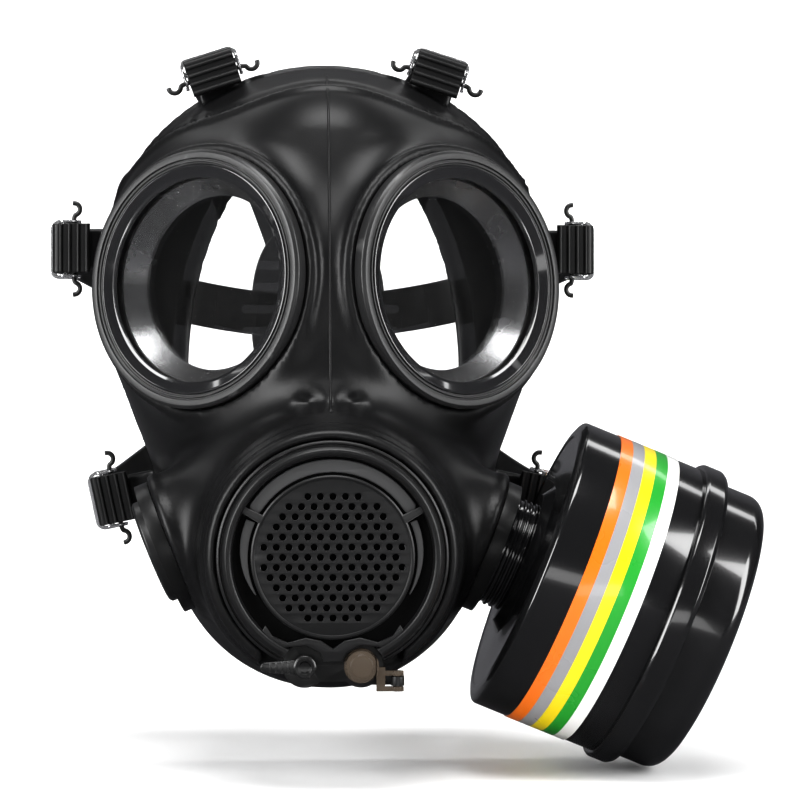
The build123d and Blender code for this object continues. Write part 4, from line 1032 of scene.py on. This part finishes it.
def build_speech_cover():
    """Rim, grille, sunk ring with its pads and struts, and the winged bracket under the grille; the sunk ring
    is a dull near-black sheet of painted shade.
    """
    rim = [
        (COVER_RIM, 4.0, 0.2), (HOUSING_RADIUS + 0.2, 4.0, 0), (HOUSING_RADIUS + 0.2, -4.0, 0),
        (COVER_RADIUS, -4.0, 0.3), (COVER_RADIUS, 5.3, 0.6), (COVER_RADIUS - 1.1, 5.9, 0.3),
        (COVER_RADIUS - 1.3, 5.0, 0.1), (COVER_RADIUS - 1.8, 5.0, 0.1), (COVER_RADIUS - 1.9, 7.4, 1.2),
        (COVER_RADIUS - 3.4, COVER_HEIGHT, 1.5), (COVER_RIM + 0.5, COVER_HEIGHT - 0.6, 0.8),
        (COVER_RIM, 6.8, 0.4),
    ]
    ring = lathe("cover_rim", rim, MOUTH_AXES, 192, 5)
    cut(ring, drink_bay("bay", 0.2))
    finish_cover(ring)
    edge = lathe(
        "grille_edge",
        [
            (GRILLE_RADIUS - 0.9, 5.0, 0), (GRILLE_RADIUS + 0.5, 4.0, 0), (GRILLE_RADIUS + 0.5, 6.9, 0.25),
            (GRILLE_RADIUS - 0.1, 7.3, 0.3), (GRILLE_RADIUS - 0.9, 7.0, 0.2),
        ],
        MOUTH_AXES,
        160,
        3,
    )
    finish_cover(edge)
    plate = flat_plate("grille_plate", grille_outlines(), 5.0, 6.9, 0.22, MOUTH_AXES)
    finish_cover(plate)
    pads = [
        flat_plate("pad", [crescent(28.2, 32.6, 33, 147)], 4.0, 5.6, 0.4, MOUTH_AXES),
        flat_plate("pad", [tapered_crescent(28.2, 31.4, 156, 206)], 4.0, 5.5, 0.2, MOUTH_AXES),
        flat_plate("pad", [tapered_crescent(28.2, 30.6, 24, -26)[::-1]], 4.0, 5.5, 0.2, MOUTH_AXES),
    ]
    pads = join("recess_pads", pads)
    finish_cover(pads)
    repaint(pads, PALE_RECESS)
    near, far = GRILLE_RADIUS + 0.4, COVER_RIM + 0.4
    sunk = [(near, 3.95, 0), (far, 3.95, 0), (far, 4.4, 0), (near, 4.4, 0)]
    # the sunk ring is a dull near-black sheet: painted shade where the recess behind the pads goes dark
    floor = lathe("recess_floor", sunk, MOUTH_AXES)
    cut(floor, drink_bay("bay", 0.2))
    finish_cover(floor)
    repaint(floor, RECESS_SHADE)
    arms = []
    for angle in (28, 152):
        turn = math.radians(angle)
        along, across = (math.cos(turn), math.sin(turn)), (-math.sin(turn), math.cos(turn))
        near, far = GRILLE_RADIUS - 0.4, COVER_RIM + 0.6
        corners = [(near, -1.5), (far, -1.1), (far, 1.1), (near, 1.5)]
        outline = [(a * along[0] + b * across[0], a * along[1] + b * across[1]) for a, b in corners]
        arms.append(flat_plate("arm", [outline], 4.0, 7.3, 0.4, MOUTH_AXES))
    struts = join("cover_struts", arms)
    finish_cover(struts)
    top = [(4.0, -27.6), (9.0, -26.6), (15.0, -28.2), (20.0, -26.0), (22.4, -22.6)]
    foot = [(23.4, -24.2), (20.6, -27.8), (16.5, -29.8), (9.0, -29.2), (4.4, -31.6), (3.2, -34.4)]
    half = top + foot
    outline = [(0.0, -30.2)] + half + [(-x, y) for x, y in half[::-1]]
    bracket = flat_plate("wing_bracket", [outline], 5.2, 8.0, 0.35, MOUTH_AXES)
    finish_cover(bracket)


def build_drink_fittings():
    """Two-lobed block, the ridged tap lever and the smoky flip cap, with soft edges."""
    for node, width in (("drink_block", 0.35), ("front_housing", 0.25)):
        finish_piece(softened(node, node + "_moulding", width), "root", "housing_plastic", [node])
    top = COVER_HEIGHT + 0.3
    x0, y0 = -DRINK_OFFSET, -DRINK_DROP
    post = [
        (0, -5.7, 0), (3.0, -5.7, 0.4), (3.0, 5.5, 0), (3.9, 5.5, 0.2), (3.9, top + 2.6, 0.5),
        (3.1, top + 3.0, 0.3), (2.2, top + 2.8, 0.3), (1.7, top + 1.6, 0.2), (0, top + 1.5, 0),
    ]
    hub = lathe("hub", post, offset_axes(MOUTH_AXES, x0, y0), 64)
    spine = [(x0 - 3.2, y0 - 2.4), (x0 - 3.2, y0 + 2.4)] + [
        (x0 - LEVER_REACH + px, y0 + py) for px, py in arc(1.7, 90, 270, 12)
    ]
    arm = flat_plate("arm", [spine[::-1]], top, top + 2.4, 0.5, MOUTH_AXES)
    ridges = []
    for i in range(4):
        x = x0 - 5.4 - 2.0 * i
        half = 2.0 - 0.18 * i
        crest = [(x, y0 - half, top + 2.2), (x, y0, top + 2.45), (x, y0 + half, top + 2.2)]
        ridges.append(tube("ridge", crest, 0.45, MOUTH_AXES))
    lever = join("tap_lever", [hub, arm] + ridges)
    finish_piece(lever, "drink_lever", "lever_plastic", ["drink_lever"])
    base = DRINK_TOP + 0.3
    bowl = [
        (0, base + 3.3, 0), (4.8, base + 3.3, 0.2), (4.8, base, 0), (5.8, base, 0.2),
        (5.8, base + 1.0, 0.2), (5.2, base + 1.3, 0.2), (5.2, base + 4.6, 1.2), (3.6, base + 6.3, 1.6),
        (0, base + 6.4, 0),
    ]
    dome = lathe("dome", bowl, offset_axes(MOUTH_AXES, DRINK_OFFSET, -DRINK_DROP), 72, 6)
    arms = softened("drink_cap", "cap_arms", 0.2)
    keep_beyond(arms, (MOUTH_CENTRE[0] + DRINK_OFFSET + 5.0) * MM)
    finish_piece(join("flip_cap", [dome, arms]), "drink_cap", "smoke_cap", ["drink_cap"])


def keep_beyond(obj, x):
    """Keeps the part of a mesh past an upright plane, closed where it is cut."""
    bm = bmesh.new()
    bm.from_mesh(obj.data)
    whole = bm.verts[:] + bm.edges[:] + bm.faces[:]
    found = bmesh.ops.bisect_plane(bm, geom=whole, plane_co=(x, 0, 0), plane_no=(-1, 0, 0), clear_outer=True)
    edges = [e for e in found["geom_cut"] if isinstance(e, bmesh.types.BMEdge)]
    bmesh.ops.holes_fill(bm, edges=edges)
    bm.to_mesh(obj.data)
    bm.free()


def offset_axes(axes, x, y):
    """The same directions from an origin moved across them."""
    origin, x_dir, z_dir = axes
    across = Vector(z_dir).cross(Vector(x_dir))
    return tuple(Vector(origin) + Vector(x_dir) * x + across * y), x_dir, z_dir


def softened(node, name, width):
    """A copy of a frame node's mesh with its flats merged and its edges rounded."""
    obj = placed(name, NODES[node].data.copy())
    bm = bmesh.new()
    bm.from_mesh(obj.data)
    bmesh.ops.remove_doubles(bm, verts=bm.verts, dist=2e-6)
    bmesh.ops.dissolve_limit(bm, angle_limit=math.radians(1.0), verts=bm.verts, edges=bm.edges)
    bm.to_mesh(obj.data)
    bm.free()
    edge = obj.modifiers.new("edge", "BEVEL")
    edge.width = width * MM
    edge.segments = 3
    edge.limit_method = "ANGLE"
    edge.angle_limit = math.radians(40)
    edge.use_clamp_overlap = True
    mesh = evaluated_mesh(obj)
    obj.modifiers.clear()
    obj.data = mesh
    return obj


# ------------------------------------------------------------------ canister and ports
def build_canister():
    """Ribbed neck and can in one shell, the rolled seam, the ringed end and the label's sleeve."""
    axes = port_axes(SIDES["left"])
    root = THREAD_RADIUS - 0.8
    outline = [(15.5, NECK_START, 0.2)]
    height = NECK_START
    while height < NECK_END:
        pitch = THREAD_PITCH if height < RIB_START else RIB_STEP
        outline += [
            (root, height + 0.05, 0.25), (root, height + 0.3 * pitch, 0.25),
            (THREAD_RADIUS, height + 0.42 * pitch, 0.3), (THREAD_RADIUS, height + 0.72 * pitch, 0.3),
            (root, height + 0.86 * pitch, 0.25),
        ]
        height += pitch
    outline = [c for c in outline if c[1] < 7.9]
    outline += [
        (root, 8.0, 0), (24.0, 8.0, 1.0), (28.0, 11.0, 1.5), (47.0, 11.3, 1.0), (48.2, 10.9, 0.6),
        (50.6, 11.2, 0.8), (CANISTER, 12.4, 1.6), (CANISTER, SEAM - 0.3, 0.1),
        (CANISTER - 2.0, SEAM - 0.3, 0), (CANISTER - 2.0, 14.0, 0.5), (15.5, 14.0, 0),
    ]
    shell = lathe("canister_shell", outline, axes, CAN_SEGMENTS, 3)
    finish_piece(shell, "filter", "canister_black", ["filter_shell"])
    ring = [
        (CANISTER + 0.05, SEAM - 4.25, 0), (CANISTER + 1.5, SEAM - 4.25, 0.7),
        (CANISTER + 2.2, SEAM - 3.2, 0.8), (CANISTER + 2.2, SEAM + 2.6, 0.9),
        (CANISTER + 1.2, SEAM + 4.25, 0.9), (END_RADIUS + 0.05, SEAM + 4.25, 0),
        (END_RADIUS + 0.05, SEAM + 0.5, 0), (CANISTER + 0.05, SEAM + 0.5, 0),
    ]
    seam = lathe("canister_seam", ring, axes, CAN_SEGMENTS, 4)
    finish_piece(seam, "filter", "canister_black", ["filter_seam_ring"])
    end = [
        (14.0, SEAM + 6.0, 0.5), (49.0, SEAM + 6.0, 0.5), (49.0, SEAM, 0), (51.45, SEAM, 0),
        (51.45, SEAM + 0.4, 0), (END_RADIUS, SEAM + 0.4, 0), (END_RADIUS, TIP, 6.5), (40.0, TIP, 0.6),
        (39.0, TIP - 0.8, 0.6), (20.0, TIP - 0.8, 0.6), (19.0, TIP, 0.5), (16.6, TIP, 0.6),
        (15.6, TIP - 1.0, 0.4), (14.0, TIP - 1.2, 0.5),
    ]
    bars = [lathe("end", end, axes, CAN_SEGMENTS, 8)]
    for i in range(4):
        turn = math.pi * i / 4
        reach = [14.4 * share for share in (-1, -0.4, 0.4, 1)]
        spine = [(r * math.cos(turn), r * math.sin(turn), TIP - 3.0) for r in reach]
        bars.append(tube("bar", spine, 1.0, axes))
    finish_piece(join("canister_end", bars), "filter", "canister_black", ["filter_end_cap"])
    start, stop = LABEL_START, LABEL_START + LABEL_LENGTH
    near, far = CANISTER + 0.05, CANISTER + 0.3
    sleeve = [(near, start, 0), (near, stop, 0), (far, stop, 0.1), (far, start, 0.1)]
    label = lathe("canister_label", sleeve, axes, CAN_SEGMENTS, 2)
    finish_piece(label, "filter", "label_print", ["filter_label"])


def build_ports():
    """Both cheek sockets and the plug that blanks the spare one."""
    for label, side in SIDES.items():
        node = f"port_socket_{label}"
        piece = softened(node, f"port_moulding_{label}", 0.35)
        finish_piece(piece, "root", "port_plastic", [node])
    cap = softened("blanking_cap", "port_plug", 0.3)
    finish_piece(cap, "blanking_cap", "cap_plastic", ["blanking_cap"])


# ------------------------------------------------------------------ buckles and straps
def build_buckle(name, label, side):
    """Chrome plate with a strap window, two upright ears and the bar the strap folds over."""
    axes = buckle_axes(name, side)
    wide = PLATE_HALF_WIDTH
    plate = [
        (PLATE_TAIL, -wide, 0.8), (PLATE_REACH, -wide, PLATE_ROUND), (PLATE_REACH, wide, PLATE_ROUND),
        (PLATE_TAIL, wide, 0.8), (PLATE_TAIL, EAR_INNER, 0.2), (WINDOW_REACH, EAR_INNER, WINDOW_ROUND),
        (WINDOW_REACH, -EAR_INNER, WINDOW_ROUND), (PLATE_TAIL, -EAR_INNER, 0.2),
    ]
    pieces = [flat_plate("plate", [rounded(plate, 8)], PLATE_LOW, PLATE_TOP, 0.3, axes)]
    origin, out, front = axes
    across = Vector(front).cross(Vector(out)).normalized()
    for end in (-1, 1):
        ear_axes = (tuple(Vector(origin) + across * end * (EAR_INNER + EAR_OUTER) / 2), out, tuple(across))
        ear = rounded([(-2.0, 3.5, 0.8), (-2.0, -3.9, 1.8), (5.2, -3.9, 1.8), (5.2, 3.5, 0.8)], 8)
        eye = circle(PIN_RADIUS + 0.05, 24)[::-1]
        pieces.append(flat_plate("ear", [ear, eye], -0.4, 0.4, 0.12, ear_axes))
    near, far = BAR_SPAN
    bar = rounded([(near, 1.5, 0.6), (far, 1.5, 0.6), (far, 3.9, 0.6), (near, 3.9, 0.6)], 8)
    bar_axes = (origin, out, tuple(across))
    pieces.append(flat_plate("bar", [bar], -EAR_INNER - 0.5, EAR_INNER + 0.5, 0.0, bar_axes))
    body = f"buckle_{name}_{label}"
    finish_piece(join(f"chrome_{name}_{label}", pieces), body, "buckle_chrome", [body])


def bezier_point(points, t):
    a, b, c, d = points
    u = 1 - t
    return a * u**3 + b * (3 * u * u * t) + c * (3 * u * t * t) + d * t**3


def strap_profile(rise=0.0):
    """Cross section of a strap: (across, height), its outer face raised by a rib's height."""
    half, thick, edge = STRAP_WIDTH / 2, STRAP_THICK, 0.35
    across = (-half + edge, -half / 2, 0, half / 2, half - edge)
    upper = [(-half, -edge)] + [(x, rise) for x in across] + [(half, -edge)]
    lower = [(half, -thick + edge), (half - edge, -thick), (-half + edge, -thick), (-half, -thick + edge)]
    return upper + lower


def rib_rise(distance):
    """Height of the gripping ribs at a distance along the strap's tail."""
    return RIB_HEIGHT * max(0.0, math.sin(2 * math.pi * distance / RIB_PITCH)) ** 0.6


def build_strap(name, label, side):
    """One ribbed strap: its folded tail over the buckle's bar, down past the lug and back to the pad."""
    origin, out, front = (Vector(v) for v in buckle_axes(name, side))
    out.normalize()
    front.normalize()
    across = front.cross(out)
    outer = STRAP_REACH + STRAP_THICK
    top = TAIL_HEIGHT + STRAP_THICK
    stations = []
    rises = []
    for x in np.arange(-TAIL_REACH, outer - FOLD_RADIUS, 0.3):
        stations.append((origin + out * x + front * top, across.copy(), front.copy()))
        rises.append(rib_rise(x + TAIL_REACH))
    for a in np.linspace(0, math.pi / 2, 8)[1:]:
        normal = front * math.cos(a) + out * math.sin(a)
        centre = origin + out * (outer - FOLD_RADIUS) + front * (top - FOLD_RADIUS)
        stations.append((centre + normal * FOLD_RADIUS, across.copy(), normal))
    for z in np.linspace(top - 4.0, -RUN_START + 3.0, 5):
        stations.append((origin + out * outer + front * z, across.copy(), out.copy()))
    start = origin + out * (outer - STRAP_THICK / 2) - front * RUN_START
    corner_x, corner_z = RUN_CORNER[name]
    end_x, end_z = RUN_END[name]
    end = Vector((side * end_x, PAD_Y + PAD_THICK / 2, end_z))
    corner = Vector((side * corner_x, PAD_Y, corner_z))
    arrive = end + (corner - end).normalized() * RUN_ARRIVE
    points = (start, start - front * RUN_LEAVE, arrive, end)
    inward = (end - corner).normalized()
    across_end = inward.cross(Vector((0, 1, 0))).normalized()
    if across.dot(across_end) < 0:
        across_end = -across_end
    count = 40
    for i in range(count + 1):
        t = i / count
        here = bezier_point(points, t)
        ahead = bezier_point(points, min(t + 0.01, 1.0)) - bezier_point(points, max(t - 0.01, 0.0))
        ahead.normalize()
        wide = (across * (1 - t) + across_end * t).normalized()
        wide = (wide - ahead * wide.dot(ahead)).normalized()
        normal = wide.cross(ahead)
        if normal.dot(stations[-1][2]) < 0:
            normal = -normal
        stations.append((here + normal * STRAP_THICK / 2, wide, normal))
    rises += [0.0] * (len(stations) - len(rises))
    verts = []
    for (p, wide, normal), rise in zip(stations, rises):
        verts += [tuple(p + wide * a + normal * b) for a, b in strap_profile(rise)]
    n = len(strap_profile())
    faces = []
    for i in range(len(stations) - 1):
        for k in range(n):
            m = (k + 1) % n
            faces.append((i * n + k, i * n + m, (i + 1) * n + m, (i + 1) * n + k))
    faces += [tuple(range(n)), tuple((len(stations) - 1) * n + k for k in reversed(range(n)))]
    strap = clean(mesh_object(f"strap_{name}_{label}", verts, faces, Matrix.Scale(MM, 4)))
    repaint(strap, FINISH["strap_rubber"])
    strap.data.shade_smooth()
    strap.data.set_sharp_from_angle(angle=math.radians(38))
    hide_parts(f"strap_loop_{name}_{label}", "head_harness")
    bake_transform(strap)


def build_wires():
    """Wire through each lug, curled at both ends."""
    wires = []
    for name in BUCKLES:
        for side in SIDES.values():
            path = []
            for end in (-1, 1):
                turns = np.linspace(math.pi / 2 * 0.9, -math.pi * 0.55, 9)
                hook, far = HOOK_RADIUS, PIN_HALF + HOOK_RADIUS
                curl = [(-hook * math.cos(a), end * (far - hook * math.sin(a)), 0) for a in turns]
                stretch = [(0, end * y, 0) for y in (4.0, 9.0, PIN_HALF - 1.2)]
                path = (stretch + curl)[::-1] + path if end < 0 else path + stretch + curl
            wires.append(tube("wire", path, PIN_RADIUS * 0.92, buckle_axes(name, side)))
    finish_piece(join("buckle_wires", wires), "root", "pin_wire", ["buckle_pins"])


def squared_oval(half_width, half_height, count):
    """An oval that is a little fuller at its corners than an ellipse."""
    power = 0.8
    points = []
    for i in range(count):
        c, k = math.cos(2 * math.pi * i / count), math.sin(2 * math.pi * i / count)
        x = math.copysign(abs(c) ** power, c) * half_width
        points.append((x, math.copysign(abs(k) ** power, k) * half_height))
    return points


def build_harness_pad():
    """Moulded pad at the back of the head with a raised border and a row of slots."""
    axes = ((0, PAD_Y, PAD_CENTRE_Z), (-1, 0, 0), (0, 1, 0))
    outline = squared_oval(*PAD_HALF, 96)
    slots = []
    for z in PAD_SLOTS:
        half, low, high = 15.0 * math.sqrt(1 - (z / 38.0) ** 2), z - 1.6, z + 1.6
        slot = rounded([(-half, low, 1.5), (half, low, 1.5), (half, high, 1.5), (-half, high, 1.5)], 4)
        slots.append(slot[::-1])
    pad = flat_plate("pad", [outline] + slots, 0.0, PAD_THICK, 0.6, axes)
    border = [(x, y, PAD_THICK - 0.2) for x, y in squared_oval(PAD_HALF[0] - 1.6, PAD_HALF[1] - 1.6, 64)]
    welt = tube("welt", border, 0.9, axes, closed=True)
    finish_piece(join("harness_pad", [pad, welt]), "root", "strap_rubber", ["head_harness"])


GLOSS_CHAMFER = dressed(
    "polished_chamfer", grey(0.015, 0.016), grey(0.2), 0.12, 0.05, (2600.0, 0.1), 0.04, **POLISH
)
PALE_RECESS = dressed("pale_recess", grey(0.05, 0.051), grey(0.12), 0.4)
# dull, near-black and barely reflective: painted shade for the sunk ring behind the pads
RECESS_SHADE = dressed("painted_recess_shade", grey(0.002), grey(0.004), 0.7, specular=0.1)

build_face()
build_bezels()
build_speech_cover()
build_drink_fittings()
build_canister()
build_ports()
for buckle in BUCKLES:
    for label, side in SIDES.items():
        build_buckle(buckle, label, side)
        build_strap(buckle, label, side)
build_wires()
build_harness_pad()

for subpart in frame["record"]["subparts"]:
    repaint(NODES[subpart["node"]], FINISH[subpart["material_slot"]])
